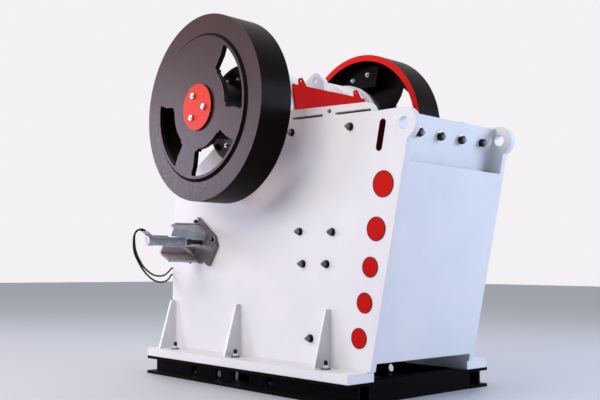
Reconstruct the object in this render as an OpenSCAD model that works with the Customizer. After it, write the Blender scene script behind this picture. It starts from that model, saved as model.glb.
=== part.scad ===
// Single-toggle jaw crusher on a skid base.
// X runs to the feed end, Y across the machine, Z up from the floor.
// The origin lies on the floor, mid-width, right below the shaft.

/* [Shaft and flywheels] */
// Height of the shaft's centre line above the floor
shaft_h = 2577; // [2500:1:2700]
// Radius of both flywheels
wheel_r = 875; // [840:1:920]
// Width of a flywheel's rim
wheel_w = 343; // [300:1:380]
// Clear distance from a side plate to the flywheel beside it
wheel_gap = 196; // [180:1:240]
// Radial thickness of the rim beside the inner cavity
rim_t = 67; // [50:1:80]
// Radial width of the flat ring on the outer face
rim_face_w = 178; // [150:1:200]
// How far the inner disc stands out from that ring
disc_rise = 23; // [12:1:35]
// Radial width of the shoulder between the ring and the disc
disc_bevel = 30; // [20:1:40]
// Thickness of the flywheel's web
web_t = 50; // [40:1:80]
// Radius of the hub
hub_r = 262; // [245:1:290]
// Length of the hub
hub_len = 333; // [315:1:345]
// Width of a spoke between two openings
spoke_w = 280; // [220:1:300]
// Inner radius of the openings
opening_r1 = 390; // [350:1:410]
// Width of the disc outside the openings
opening_edge = 27; // [15:1:50]
// Corner radius of the openings
opening_fillet = 20; // [12:1:40]
// Angle of the first opening above the feed end
wheel_phase = 23; // [0:1:45]
// Inner radius of the counterweight
counter_r1 = 545; // [500:1:600]
// Clear distance from the counterweight to the rim
counter_gap = 23; // [15:1:40]
// Angle that the counterweight spans
counter_span = 72; // [60:1:90]
// Thickness of the counterweight
counter_t = 160; // [100:1:200]
// Radius of the round cap on the hub
cap_r = 217; // [200:1:235]
// Thickness of the cap
cap_t = 22; // [14:1:40]
// Radius of the shaft in the main bearings
journal_r = 140; // [125:1:150]
// Radius of the shaft inside the flywheels
seat_r = 120; // [110:1:124]
// Radius of the shaft's eccentric length
eccentric_r = 175; // [165:1:190]
// Offset of the eccentric length from the shaft's centre line
throw = 18; // [12:1:22]
// Radius of the seal ring on the shaft
seal_r = 205; // [190:1:230]
// Running clearance of a shaft in its bore
run_gap = 0.05; // [0.02:0.01:0.09]

/* [Bearing housings] */
// Radius of a housing's flange
housing_r = 474; // [450:1:490]
// Thickness of that flange
housing_t = 95; // [80:1:110]
// Radius of the round cover on the housing
cover_r = 350; // [320:1:380]
// Thickness of the cover
cover_t = 68; // [50:1:75]
// Radial wall of the housing's spigot in the side plate
spigot_wall = 60; // [40:1:80]

/* [Side plates] */
// Clear width between the two side plates
inside_w = 1276; // [1200:1:1320]
// Thickness of a side plate
side_t = 60; // [45:1:70]
// Position of the rear edge
rear_x = -1190; // [-1250:1:-1150]
// Height of the rear edge
rear_top_z = 1900; // [1850:1:1950]
// Position of the front edge where it meets the skid
front_x = 1620; // [1580:1:1680]
// Forward lean of the front edge
lean = 11.9; // [10:0.1:13]
// Drop from the shaft to the top edge over the front plate
front_drop = 187; // [165:1:215]
// Drop from the shaft to the rail beside the feed opening
rail_drop = 97; // [80:1:115]
// Front end of that rail
rail_x = 1670; // [1620:1:1700]
// Radius of that rail's front end
rail_end_r = 100; // [70:1:110]
// Radius of the round hump that carries the bearing
hump_r = 494; // [480:1:510]
// Radius of the front lifting ear
ear_r = 128; // [115:1:140]
// Radius of the hole in a lifting ear
ear_hole_r = 50; // [40:1:60]
// Width of the long holes under the rail
slit_w = 22; // [14:1:30]
// Width of the upright slot beside the jaw wedge
slot_w = 68; // [50:1:75]
// Distance of that slot from the front plate's face
slot_d = 286; // [270:1:300]

/* [Front frame] */
// Height of the front plate's lower edge
front_foot_z = 325; // [310:1:400]
// Drop from the front's top edge to the front plate's upper edge
face_drop = 437; // [400:1:480]
// Thickness of the front and back plates
front_t = 60; // [40:1:70]
// Thickness of the ribs between them
rib_t = 50; // [30:1:60]
// Distance of the pin covers from the front plate's face
pin_d = 178; // [165:1:190]
// Thickness of a pin cover
pin_cover_t = 6; // [4:1:12]
// Distance of the upper plate from the front plate's face
upper_d = 180; // [150:1:200]
// Thickness of the upper plate
upper_t = 50; // [35:1:60]

/* [Feed and jaws] */
// Distance from the front plate's face to the fixed jaw's face
fixed_face_d = 577; // [560:1:600]
// Thickness of a jaw die with its teeth
die_t = 110; // [95:1:125]
// Height of a die's teeth
tooth_h = 38; // [28:1:45]
// Number of teeth across the fixed die
tooth_n = 14; // [10:1:16]
// Lean of the swing jaw's face, its foot forward
jaw_lean = 10.1; // [8:0.1:11]
// Position of the swing jaw's face at its foot
jaw_foot_x = 931; // [911:1:950]
// Drop from the shaft to the top of the dies
jaw_drop = 267; // [245:1:300]
// Height of the swing jaw's foot
jaw_foot_z = 450; // [430:1:480]
// Thickness of a cheek plate
cheek_t = 40; // [30:1:50]
// Running clearance between the swing jaw and a cheek plate
jaw_side_gap = 8; // [5:1:14]
// Height of the joint between the upper and lower cheek plates
cheek_joint_z = 1280; // [1200:1:1360]

/* [Pitman] */
// Radius of the barrel's collars
collar_r = 490; // [480:1:500]
// Radius of the barrel between the collars
barrel_r = 425; // [400:1:450]
// Width of a collar
collar_w = 310; // [260:1:340]
// Thickness of the wall behind the swing jaw's die
pitman_wall_t = 95; // [70:1:120]
// Thickness of a rib on the pitman
pitman_rib_t = 60; // [40:1:80]
// Thickness of the lifting ear on the barrel
fin_t = 60; // [40:1:80]
// Thickness of the guard plate
guard_t = 18; // [12:1:24]
// Distance from the jaw's side to the guard's side
guard_inset = 87; // [60:1:120]
// Rearward lean of the guard's top
guard_lean = 10.6; // [8:0.1:13]
// Height of the guard's top edge above the shaft, along the plate
guard_top = 194; // [170:1:210]

/* [Toggle] */
// Position of the toggle plate's rear end
toggle_x = -140; // [-160:1:-120]
// Height of the toggle plate's rear end
toggle_z = 1046; // [1020:1:1070]
// Length of the toggle plate
toggle_len = 700; // [680:1:715]
// Thickness of the toggle plate's round ends
toggle_t = 110; // [95:1:120]
// Thickness of the toggle plate between its ends
toggle_web_t = 76; // [60:1:85]
// Width of the toggle plate
toggle_w = 900; // [800:1:960]
// Rise of the toggle plate towards the rear
toggle_rise = 34; // [32:0.5:36]
// Length of the seat block behind the toggle plate
seat_block_l = 440; // [420:1:455]
// Height of the seat block and the wedges
seat_h = 300; // [280:1:320]
// Thickness of the pair of wedges
wedge_t = 300; // [280:1:320]
// Height of the return rods above the floor
rod_z = 520; // [500:1:535]
// Distance between the return rods
rod_spacing = 600; // [500:1:700]
// Radius of a return rod
rod_r = 25; // [20:1:28]
// Wire thickness of a return spring
wire_t = 26; // [20:1:28]
// Turns of a return spring
spring_turns = 6; // [5:1:8]
// Least clearance between moving pieces
move_gap = 5; // [5:1:8]
// Clearance between two pieces that seat on each other
seat_play = 0.3; // [0.25:0.05:0.4]

/* [Wedge adjusters] */
// Thickness of the mounting plate on the side plate
mount_t = 40; // [30:1:50]
// Sheet thickness of the folded wings beside the cylinder
wing_t = 16; // [10:1:20]
// Radius of the cylinder
cylinder_r = 44; // [38:1:48]
// Radius of the cylinder's rod
cylinder_rod_r = 22; // [16:1:26]
// Distance from the side plate to the cylinder's rod end
cylinder_out = 264; // [240:1:280]
// Length of the cylinder with its end cap
cylinder_len = 412; // [390:1:440]
// Thickness of a hydraulic hose
hose_d = 18; // [14:1:20]

/* [Base] */
// Height of the black skid beams
skid_h = 178; // [160:1:200]
// Width over both skid beams
over_skids = 1900; // [1896:1:1940]
// Width of a skid beam's flanges
beam_w = 260; // [240:1:280]
// Thickness of a skid beam's flanges and web
beam_t = 28; // [20:1:34]
// Thickness of the mounting flange on the side plates
flange_t = 80; // [60:1:90]
// Width over both mounting flanges
over_flanges = 1892; // [1860:1:1894]
// Height of a gusset above the flange
gusset_h = 490; // [440:1:520]
// Thickness of a gusset
gusset_t = 30; // [24:1:40]

/* [Hidden] */
$fn = 96;

paint = "whitesmoke";
satin_black = "#1a1a1c";
signal_red = "#d2232a";
cast_steel = "#8a8d90";
zinc = "#8f9aa5";

// Faces of the side plates, wheels and jaws along the shaft
side_y = inside_w / 2 + side_t;
wheel_y = side_y + wheel_gap + wheel_w;
hub_y = wheel_y + disc_rise;
disc_r = wheel_r - rim_face_w - disc_bevel;
opening_r2 = disc_r - opening_edge;
counter_r2 = wheel_r - rim_t - counter_gap;
cover_y = side_y + housing_t + cover_t;
jaw_w = inside_w - 2 * cheek_t - 2 * jaw_side_gap;

// Heights that follow the shaft
front_top_z = shaft_h - front_drop;
rail_z = shaft_h - rail_drop;
jaw_top_z = shaft_h - jaw_drop;
flange_z = skid_h + flange_t;

// The eccentric length rests opposite the counterweights
ecc_angle = wheel_phase + 270;
ecc_x = throw * cos(ecc_angle);
ecc_z = shaft_h + throw * sin(ecc_angle);

// Front lifting ear, just below the top edge and behind the front edge
ear_drop = 6;
ear_back = 68;
ear_z = front_top_z - ear_r - ear_drop;
ear_x = front_x + (ear_z - skid_h) * tan(lean) - ear_back;

// Front frame: heights of the covered pins, each with its radius
pins = [[524, 85], [815, 85], [1108, 85], [1418, 100], [1781, 110]];
top_rib_z = front_top_z - 450;
back_d = fixed_face_d - die_t;
back_drop = 15;
upper_foot_z = front_top_z - 415;
wedge_foot_rise = 55;
wedge_foot_t = 115;
wedge_h = 260;

// Long holes under the rail: front and rear ends, and their height below it
slits = [[690, 1062], [1239, 1634]];
slit_drop = 27;
slit_fall = 0.047;
slot_top_drop = 108;
slot_len = 200;

// Rail: its fall towards the feed end, and where the rear edge leaves the hump
rail_fall = 0.0606;
hump_drop = 175;

// Rear beam, seen from the side
beam_inset = 40;
beam_foot_z = 960;
beam_top_z = 1780;
beam_face_h = 440;
pocket_d = 260;
pocket_wall = 60;
hanger_t = 40;
hanger_x = -800;
hanger_w = 900;
hanger_foot_z = 400;
hose_y = 545;
hose_boss_l = 40;

// Toggle: the rear seat leaves room for the jaw's full swing
end_r = toggle_t / 2;
seat_gap = throw * (1 - cos(ecc_angle + toggle_rise - 180)) + move_gap;
lip = 20;
wedge_slope = 50;
wedge_end_gap = 20;
wedge_back = seat_block_l + wedge_t + 2 * seat_play;

// Wedge adjuster: the cylinder's axis behind and below the toggle's axis
cyl_x = -592;
cyl_z = -34;
window = [-700, -480, -120, 60];
cylinder_end = side_y + cylinder_out + cylinder_len;
end_cap_l = 62;
end_cap_rise = 4;
boot_r = 31;
boot_l = 95;
pipe_r = 8;
pipe_l = 178;

// Hose elbows on the end cap: pitch, height on the axis, lean outwards and length
port_pitch = 44;
port_rise = 36;
port_inset = 42;
port_lean = atan2(4, 3);
port_l = 60;
port_wall = 4;

// Mounting plate, seen along the cylinder, with its low front corner
mount_back = 203;
mount_front = 235;
mount_top = 174;
mount_foot = 196;
mount_step = 130;
mount_chamfer = [97, 60];

// Folded wings, seen along the cylinder's side: edges from the root to the tip
upper_wing = [[-138, 0], [-125, 302], [-94, 362], [-24, 362], [45, 0]];
upper_wing_top = 136;
lower_wing = [[-78, 0], [-66, 347], [36, 382], [78, 382], [78, 0]];
lower_wing_top = 190;
lower_wing_foot = 99;
wing_lip = 24;
ring_t = 20;
ring_wall = 20;

// Pitman: toggle boss, neck under the barrel and the ribs' corners
boss_top = 120;
boss_foot = 85;
boss_l = 120;
neck_x = [200, 400];
neck_drop = 100;
rib_inset = 20;
rib_step = [60, 75];
rib_heel = [-270, shaft_h - 390];
lug_w = 140;

// Guard: its foot, lifting loops with their long holes, and brackets
guard_foot = -200;
loop_inset = 118;
loop_r = 32;
loop_rise = 48;
loop_spread = 64;
loop_hole = [28, 36];
bracket_foot = 60;
bracket_top = 190;

// Return rods and springs
rod_front_x = 560;
rod_back_x = -1120;
rod_pass_r = rod_r + 2 * throw + move_gap;
spring_r = rod_pass_r + wire_t / 2 + 3;
spring_len = 250;
washer_r = 100;
washer_t = 20;
washer_x = hanger_x - spring_len - 2 * throw;

// Base
gusset_x = [-1145, -55, 1161];
gusset_top_w = 50;
gusset_inset = 64;
beam_back = 67;
cross_x = [rear_x + 75, 0, front_x - 85];
cross_w = 150;
skid_hole_r = 43;
skid_hole_x = [-593, -202, 545];
skid_hole_z = 80;
skid_slot = [32, 234, 95];

// Routes of the two hoses, from the elbows on the end cap to the rear beam
upper_route = [
    [-672, -1380.4, 1421.2], [-672, -1400, 1435.9], [-671, -1423, 1448], [-669, -1448, 1451],
    [-665, -1473, 1445], [-660, -1494, 1429], [-655, -1508, 1405], [-650, -1514, 1370],
    [-646, -1514, 1325], [-648, -1504, 1272], [-658, -1478, 1215], [-684, -1428, 1156],
    [-730, -1358, 1100], [-790, -1260, 1050], [-870, -1145, 1016], [-960, -1020, 1004],
    [-1050, -905, 1012], [-1130, -812, 1034], [-1200, -735, 1060], [-1250, -692, 1073],
    [-1278, -662, 1080], [-1291, -626, 1086], [-1286, -594, 1089], [-1269, -567, 1090],
    [-1242, -550, 1090], [-1216, -545, 1090], [-1190.5, -545, 1090]
];
lower_route = [
    [-628, -1380.4, 1421.2], [-628, -1400, 1435.9], [-627, -1425, 1450], [-625, -1453, 1455],
    [-621, -1483, 1450], [-616, -1510, 1436], [-611, -1532, 1413], [-606, -1546, 1382],
    [-602, -1552, 1335], [-600, -1550, 1275], [-606, -1527, 1208], [-625, -1474, 1136],
    [-665, -1400, 1068], [-728, -1300, 1008], [-808, -1185, 966], [-895, -1070, 946],
    [-985, -960, 944], [-1075, -858, 954], [-1155, -775, 974], [-1215, -717, 994],
    [-1252, -687, 1005], [-1278, -662, 1011], [-1291, -626, 1016], [-1286, -594, 1019],
    [-1269, -567, 1020], [-1242, -550, 1020], [-1216, -545, 1020], [-1190.5, -545, 1020]
];
hose_ends_z = [1020, 1090];

// Plate in the XZ plane between y1 and y2
module xz_plate(y1, y2) {
    translate([0, y2, 0]) rotate([90, 0, 0]) linear_extrude(y2 - y1) children();
}

// Cylinder along Y between y1 and y2
module y_rod(r, y1, y2) {
    translate([0, y1, 0]) rotate([-90, 0, 0]) cylinder(r = r, h = y2 - y1);
}

// Cylinder along X between x1 and x2
module x_rod(r, x1, x2) {
    translate([x1, 0, 0]) rotate([0, 90, 0]) cylinder(r = r, h = x2 - x1);
}

// Near side copy as drawn, far side copy mirrored
module far_side() {
    mirror([0, 1, 0]) children();
}

// Frame of the leaning front: x = 0 on its face, z along the slope from the skid
module on_front() {
    translate([front_x, 0, skid_h]) rotate([0, lean, 0]) children();
}

// Frame of the toggle plate: origin at its rear end, x forward along it
module on_toggle() {
    translate([toggle_x, 0, toggle_z]) rotate([0, toggle_rise, 0]) children();
}

// Frame of the pitman's barrel, on the eccentric's centre line
module on_barrel() {
    translate([ecc_x, 0, ecc_z]) children();
}

// Distance along the slope for a height above the floor, d behind the face
function slope_z(z, d = 0) = (z - skid_h - d * sin(lean)) / cos(lean);

// Front edge of the side plates at a height
function front_edge_x(z) = front_x + (z - skid_h) * tan(lean);

// Point of the toggle's frame, given in the XZ plane
function toggle_pt(x, z) = [
    toggle_x + x * cos(toggle_rise) + z * sin(toggle_rise),
    toggle_z - x * sin(toggle_rise) + z * cos(toggle_rise)
];

// Face of the swing jaw at a height
function jaw_face_x(z) = jaw_foot_x - (z - jaw_foot_z) * tan(jaw_lean);

// Direction of a route at point i
function heading(p, i) =
    let (d = p[min(i + 1, len(p) - 1)] - p[max(i - 1, 0)]) d / norm(d);

// Vector u turned square to direction d
function square_to(u, d) = let (v = u - (u * d) * d) v / norm(v);

// Round tube swept along the points of a route
module tube(p, r, sides, start) {
    n = len(p);
    across = [
        for (i = 0, u = square_to(start, heading(p, 0)); i < n;
            i = i + 1, u = i < n ? square_to(u, heading(p, i)) : u) u
    ];
    points = [
        for (i = [0 : n - 1], k = [0 : sides - 1])
            let (a = 360 * k / sides, v = cross(heading(p, i), across[i]))
                p[i] + r * (cos(a) * across[i] + sin(a) * v)
    ];
    walls = [
        for (i = [0 : n - 2], k = [0 : sides - 1])
            let (a = i * sides + k, b = i * sides + (k + 1) % sides)
                [b, a, a + sides, b + sides]
    ];
    first = [for (k = [0 : sides - 1]) k];
    last = [for (k = [sides - 1 : -1 : 0]) (n - 1) * sides + k];
    polyhedron(points, concat(walls, [first, last]));
}

// Long hole with round ends, from point a to point b
module long_hole(a, b, w) {
    d = b - a;
    translate(a)
        rotate(atan2(d[1], d[0])) {
            translate([0, -w / 2]) square([norm(d), w]);
            circle(d = w);
            translate([norm(d), 0]) circle(d = w);
        }
}

// Ring sector between two radii, centred on the X axis
module ring_sector(r1, r2, span) {
    reach = 2 * r2;
    difference() {
        intersection() {
            circle(r = r2);
            polygon([
                [0, 0], [reach * cos(span / 2), -reach * sin(span / 2)],
                [reach * cos(span / 2), reach * sin(span / 2)]
            ]);
        }
        circle(r = r1);
    }
}

module side_outline() {
    slit_z = rail_z - slit_drop;
    difference() {
        union() {
            polygon([
                [rear_x, flange_z], [front_edge_x(flange_z), flange_z],
                [front_edge_x(ear_z), ear_z], [ear_x, ear_z + ear_r], [rail_x, front_top_z],
                [rail_x, rail_z - rail_end_r], [rail_x - rail_end_r, rail_z],
                [0, rail_z + (rail_x - rail_end_r) * rail_fall],
                [-hump_r, rail_z - hump_drop], [rear_x, rear_top_z]
            ]);
            translate([ear_x, ear_z]) circle(r = ear_r);
            translate([rail_x - rail_end_r, rail_z - rail_end_r]) circle(r = rail_end_r);
            translate([0, shaft_h]) circle(r = hump_r);
        }
        translate([ear_x, ear_z]) circle(r = ear_hole_r);
        translate([0, shaft_h]) circle(r = journal_r + spigot_wall);
        for (s = slits)
            long_hole(
                [s[0], slit_z - (s[0] - slits[0][0]) * slit_fall],
                [s[1], slit_z - (s[1] - slits[0][0]) * slit_fall], slit_w
            );
        polygon([
            toggle_pt(window[0], window[2]), toggle_pt(window[1], window[2]),
            toggle_pt(window[1], window[3]), toggle_pt(window[0], window[3])
        ]);
    }
}

module side_plate() {
    slot_z = slope_z(front_top_z - slot_top_drop, slot_d);
    color(paint)
        difference() {
            xz_plate(-side_y, -inside_w / 2) side_outline();
            on_front()
                xz_plate(-side_y - 1, -inside_w / 2 + 1)
                    long_hole([-slot_d, slot_z - slot_len], [-slot_d, slot_z], slot_w);
        }
}

module base_flange() {
    back = rear_x - 76;
    color(paint)
        translate([back, -over_flanges / 2, skid_h])
            cube([front_x - back, (over_flanges - inside_w) / 2, flange_t]);
}

module gussets() {
    color(paint)
        for (x = gusset_x)
            translate([x - gusset_t / 2, 0, 0])
                rotate([90, 0, 90])
                    linear_extrude(gusset_t)
                        polygon([
                            [-side_y, flange_z], [-side_y, flange_z + gusset_h],
                            [-side_y - gusset_top_w, flange_z + gusset_h],
                            [-over_flanges / 2 + gusset_inset, flange_z]
                        ]);
}

module skid_beam() {
    outer = -over_skids / 2;
    web = outer + beam_w / 2;
    color(satin_black)
        difference() {
            translate([rear_x - beam_back, 0, 0])
                rotate([90, 0, 90])
                    linear_extrude(front_x - rear_x + beam_back) {
                        translate([outer, 0]) square([beam_w, beam_t]);
                        translate([outer, skid_h - beam_t]) square([beam_w, beam_t]);
                        translate([web - beam_t / 2, 0]) square([beam_t, skid_h]);
                    }
            for (x = skid_hole_x)
                translate([x, 0, skid_hole_z]) y_rod(skid_hole_r, web - beam_t, web + beam_t);
            translate([skid_slot[0], web - beam_t, (skid_h - skid_slot[2]) / 2])
                cube([skid_slot[1], 2 * beam_t, skid_slot[2]]);
        }
}

module skid_cross_members() {
    half = over_skids / 2 - beam_w;
    color(satin_black)
        for (x = cross_x)
            translate([x - cross_w / 2, -half, 0]) cube([cross_w, 2 * half, skid_h]);
}

module front_frame() {
    foot = slope_z(front_foot_z);
    color(paint)
        on_front() {
            translate([-front_t, -inside_w / 2, foot])
                cube([front_t, inside_w, slope_z(front_top_z - face_drop) - foot]);
            translate([-back_d, -inside_w / 2, foot])
                cube([front_t, inside_w, slope_z(front_top_z - back_drop, back_d) - foot]);
            for (z = concat([for (p = pins) p[0]], [top_rib_z]))
                translate([-back_d + front_t - 1, -inside_w / 2, slope_z(z, pin_d) - rib_t / 2])
                    cube([back_d - 2 * front_t + 2, inside_w, rib_t]);
        }
}

module front_upper_plate() {
    foot = slope_z(upper_foot_z, upper_d);
    color(paint)
        on_front()
            translate([-upper_d, -inside_w / 2, foot])
                cube([upper_t, inside_w, slope_z(front_top_z - back_drop, upper_d) - foot]);
}

// Tapered bar that clamps the fixed jaw, drawn tight by the upper plate's bolts
module jaw_wedge() {
    foot = slope_z(upper_foot_z, upper_d) + wedge_foot_rise;
    back = -back_d + front_t + seat_play;
    front = -upper_d - seat_play;
    color("#7d1a1e")
        on_front()
            xz_plate(-inside_w / 2 + seat_play, inside_w / 2 - seat_play)
                polygon([
                    [back, foot], [back + wedge_foot_t, foot], [front, foot + wedge_h],
                    [back, foot + wedge_h]
                ]);
}

module pin_covers() {
    color(signal_red)
        on_front()
            for (p = pins)
                translate([-pin_d, 0, slope_z(p[0], pin_d)])
                    y_rod(p[1], -side_y - pin_cover_t, -side_y);
}

module rear_beam() {
    back = rear_x + beam_inset;
    cell = (inside_w - 4 * pocket_wall) / 3;
    color(paint) {
        difference() {
            xz_plate(-inside_w / 2, inside_w / 2)
                polygon([
                    [back, beam_foot_z], [hanger_x + hanger_t, beam_foot_z],
                    toggle_pt(-wedge_back, -beam_face_h / 2),
                    toggle_pt(-wedge_back, beam_face_h / 2),
                    [toggle_pt(-wedge_back, beam_face_h / 2)[0], beam_top_z], [back, beam_top_z]
                ]);
            for (k = [-1 : 1])
                translate([back - 1, k * (cell + pocket_wall) - cell / 2, beam_foot_z + 3 * pocket_wall])
                    cube([pocket_d, cell, beam_top_z - beam_foot_z - 4 * pocket_wall]);
        }
        for (y = [-hose_y, hose_y], z = hose_ends_z)
            translate([0, y, z]) x_rod(hose_d, back - hose_boss_l, back + 1);
        difference() {
            translate([hanger_x, -hanger_w / 2, hanger_foot_z])
                cube([hanger_t, hanger_w, beam_foot_z + 60 - hanger_foot_z]);
            for (y = [-rod_spacing / 2, rod_spacing / 2])
                translate([0, y, rod_z]) x_rod(rod_pass_r, hanger_x - 1, hanger_x + hanger_t + 1);
        }
    }
}

module bearing_housing() {
    color("#6b625a")
        translate([0, 0, shaft_h])
            difference() {
                union() {
                    y_rod(housing_r, -side_y - housing_t, -side_y);
                    y_rod(cover_r, -cover_y, -side_y);
                    y_rod(journal_r + spigot_wall - seat_play, -side_y - housing_t, -inside_w / 2);
                }
                y_rod(journal_r + run_gap, -cover_y - 1, 0);
            }
}

// Profile of a jaw die: flat back at y = 0, ribbed face towards y = die_t
module die_profile(w, teeth) {
    pitch = w / teeth;
    rib = [[0.06, 0], [0.3, 0.8], [0.42, 1], [0.58, 1], [0.7, 0.8], [0.94, 0]];
    polygon(concat(
        [[w / 2, 0], [-w / 2, 0]],
        [for (i = [0 : teeth - 1], p = rib) [-w / 2 + pitch * (i + p[0]), die_t - tooth_h * (1 - p[1])]]
    ));
}

module fixed_jaw_die() {
    foot = slope_z(420, fixed_face_d);
    color(cast_steel)
        on_front()
            translate([-back_d, 0, foot])
                rotate([0, 0, 90])
                    linear_extrude(slope_z(jaw_top_z, fixed_face_d) - foot)
                        die_profile(inside_w - 4, tooth_n);
}

module cheek_plates() {
    top = jaw_top_z + 90;
    foot = jaw_foot_z - 20;
    cover = 40;
    play = 2;
    color(cast_steel)
        for (p = [[cheek_joint_z + play, top], [foot, cheek_joint_z - play]])
            xz_plate(-inside_w / 2, -inside_w / 2 + cheek_t)
                polygon([
                    [jaw_face_x(p[1]) - cover, p[1]], [jaw_face_x(p[0]) - cover, p[0]],
                    [front_edge_x(p[0]) - fixed_face_d / cos(lean) - play, p[0]],
                    [front_edge_x(p[1]) - fixed_face_d / cos(lean) - play, p[1]]
                ]);
}

module toggle_plate() {
    neck = 60;
    color("dimgray")
        on_toggle() {
            for (x = [end_r, toggle_len - end_r])
                translate([x, 0, 0]) y_rod(end_r, -toggle_w / 2, toggle_w / 2);
            translate([end_r, -toggle_w / 2, -toggle_web_t / 2])
                cube([toggle_len - toggle_t, toggle_w, toggle_web_t]);
            for (x = [end_r, toggle_len - end_r - neck])
                translate([x, -toggle_w / 2, -toggle_t / 2 + 2])
                    cube([neck, toggle_w, toggle_t - 4]);
        }
}

module toggle_seat() {
    color("dimgray")
        on_toggle()
            difference() {
                translate([-seat_block_l, -toggle_w / 2, -seat_h / 2])
                    cube([seat_block_l + lip, toggle_w, seat_h]);
                translate([end_r, 0, 0]) y_rod(end_r + seat_gap, -toggle_w, toggle_w);
            }
}

// Pair of opposed wedges that sets the toggle's position
module wedges() {
    end = inside_w / 2 - wedge_end_gap;
    thin = end * 0.65;
    half = wedge_t / 2;
    color("silver")
        on_toggle()
            translate([-seat_block_l - seat_play - half, 0, -seat_h / 2])
                for (a = [0, 180])
                    rotate([0, 0, a])
                        linear_extrude(seat_h)
                            polygon([
                                [half, -end], [half, thin],
                                [seat_play / 2 + wedge_slope * thin / end, thin],
                                [seat_play / 2 - wedge_slope, -end]
                            ]);
}

// Hydraulic cylinder with its rod, boot, end cap, pipe and two hose elbows
module wedge_cylinder() {
    start = cylinder_end - cylinder_len;
    cap_start = cylinder_end - end_cap_l;
    rod_end = inside_w / 2 - wedge_end_gap + seat_play;
    centre = toggle_pt(cyl_x, cyl_z);
    sunk = 10;
    color(zinc)
        translate([centre[0], 0, centre[1]]) {
            y_rod(cylinder_rod_r, -start, -rod_end);
            y_rod(boot_r, -start, -start + boot_l);
            y_rod(cylinder_r, -cylinder_end, -start);
            y_rod(cylinder_r + end_cap_rise, -cylinder_end, -cap_start);
            translate([0, 0, cylinder_r + pipe_r / 2]) y_rod(pipe_r, -cap_start, -cap_start + pipe_l);
            for (x = [-port_pitch / 2, port_pitch / 2])
                translate([x, port_inset - cylinder_end, port_rise])
                    rotate([port_lean, 0, 0])
                        translate([0, 0, -sunk])
                            cylinder(r = hose_d / 2 + port_wall, h = port_l + sunk);
        }
}

// Folded sheet: flange on top, wall down along the outline's last edge, lip along its first
module bracket_wing(outline, top, foot) {
    n = len(outline);
    in = [wing_t, 0];
    translate([0, 0, top - wing_t]) linear_extrude(wing_t) polygon(outline);
    translate([0, 0, foot])
        linear_extrude(top - foot)
            polygon([outline[n - 2], outline[n - 1], outline[n - 1] - in, outline[n - 2] - in]);
    translate([0, 0, top - wing_t])
        linear_extrude(wing_lip)
            polygon([outline[0], outline[1], outline[1] + in, outline[0] + in]);
}

// Mounting plate, two folded wings round the cylinder, and the braced ring that holds its rod end
module wedge_bracket() {
    face = -side_y - mount_t;
    root = lower_wing[4][0];
    ring_y = -side_y - cylinder_out + seat_play;
    ring_r = boot_r + ring_wall;
    color(zinc)
        on_toggle()
            translate([cyl_x, 0, cyl_z]) {
                difference() {
                    union() {
                        xz_plate(face, -side_y)
                            polygon([
                                [-mount_back, -mount_foot], [root + wing_t, -mount_foot],
                                [root + 3 * wing_t, -mount_step], [mount_front, -mount_step],
                                [mount_front, mount_top - mount_chamfer[1]],
                                [mount_front - mount_chamfer[0], mount_top], [-mount_back, mount_top]
                            ]);
                        y_rod(ring_r, ring_y, ring_y + ring_t);
                        translate([-wing_t / 2, 0, 0])
                            rotate([90, 0, 90])
                                linear_extrude(wing_t)
                                    polygon([
                                        [ring_y, -boot_r], [ring_y, -ring_r - wing_t / 2],
                                        [face, -lower_wing_top + wing_t / 2],
                                        [face, -lower_wing_top + 2 * wing_t],
                                        [ring_y + ring_t, -boot_r]
                                    ]);
                    }
                    y_rod(boot_r + seat_play, ring_y - 1, 0);
                }
                translate([0, face, 0]) mirror([0, 1, 0]) {
                    bracket_wing(upper_wing, upper_wing_top, cylinder_r + 4);
                    rotate([0, 180, 0]) bracket_wing(lower_wing, lower_wing_top, lower_wing_foot);
                }
            }
}

module hose(route) {
    color(satin_black) tube(route, hose_d / 2, 8, [1, 0, 0]);
}

// Points along a coil that winds round the X axis
function coil(r, length, turns, steps) = [
    for (i = [0 : turns * steps])
        let (a = 360 * i / steps) [length * i / (turns * steps), r * cos(a), r * sin(a)]
];

module return_springs() {
    flat = wire_t / 4 * (1 - cos(30));
    color("dimgray")
        for (y = [-rod_spacing / 2, rod_spacing / 2])
            translate([hanger_x - spring_len + wire_t / 2, y, rod_z])
                tube(
                    coil(spring_r, spring_len - wire_t - seat_play + flat, spring_turns, 14),
                    wire_t / 2, 6, [0, 1, 0]
                );
}

module return_rods() {
    color("dimgray")
        for (y = [-rod_spacing / 2, rod_spacing / 2])
            translate([0, y, rod_z]) {
                x_rod(rod_r, rod_back_x, rod_front_x - seat_play);
                x_rod(washer_r, washer_x - washer_t, washer_x);
                x_rod(rod_r * 1.6, washer_x - washer_t - 24, washer_x - washer_t);
            }
}

module eccentric_shaft() {
    inner = -jaw_w / 2;
    color("silver") {
        for (m = [0, 1])
            mirror([0, m, 0])
                translate([0, 0, shaft_h]) {
                    y_rod(seat_r, -hub_y, inner);
                    y_rod(journal_r, -hub_y + hub_len, inner);
                    y_rod(seal_r, -hub_y + hub_len + seat_play, -cover_y - move_gap);
                }
        on_barrel() y_rod(eccentric_r, inner - 5, -inner + 5);
    }
}

// Window between two spokes at right angles, its corners rounded
module spoke_window() {
    side = spoke_w / 2 + opening_fillet;
    r1 = opening_r1 + opening_fillet;
    r2 = opening_r2 - opening_fillet;
    x1 = sqrt(r1 * r1 - side * side);
    x2 = sqrt(r2 * r2 - side * side);
    a1 = asin(side / r1);
    a2 = asin(side / r2);
    rotate(45) ring_sector(opening_r1, opening_r2, 90 - 2 * a1);
    rotate(45) ring_sector(r1, opening_r2, 90 - 2 * a2);
    for (m = [0, 1])
        mirror([m, -m]) {
            translate([x1, spoke_w / 2]) square([x2 - x1, opening_fillet]);
            translate([x1, side]) circle(r = opening_fillet);
            translate([x2, side]) circle(r = opening_fillet);
        }
}

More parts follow.
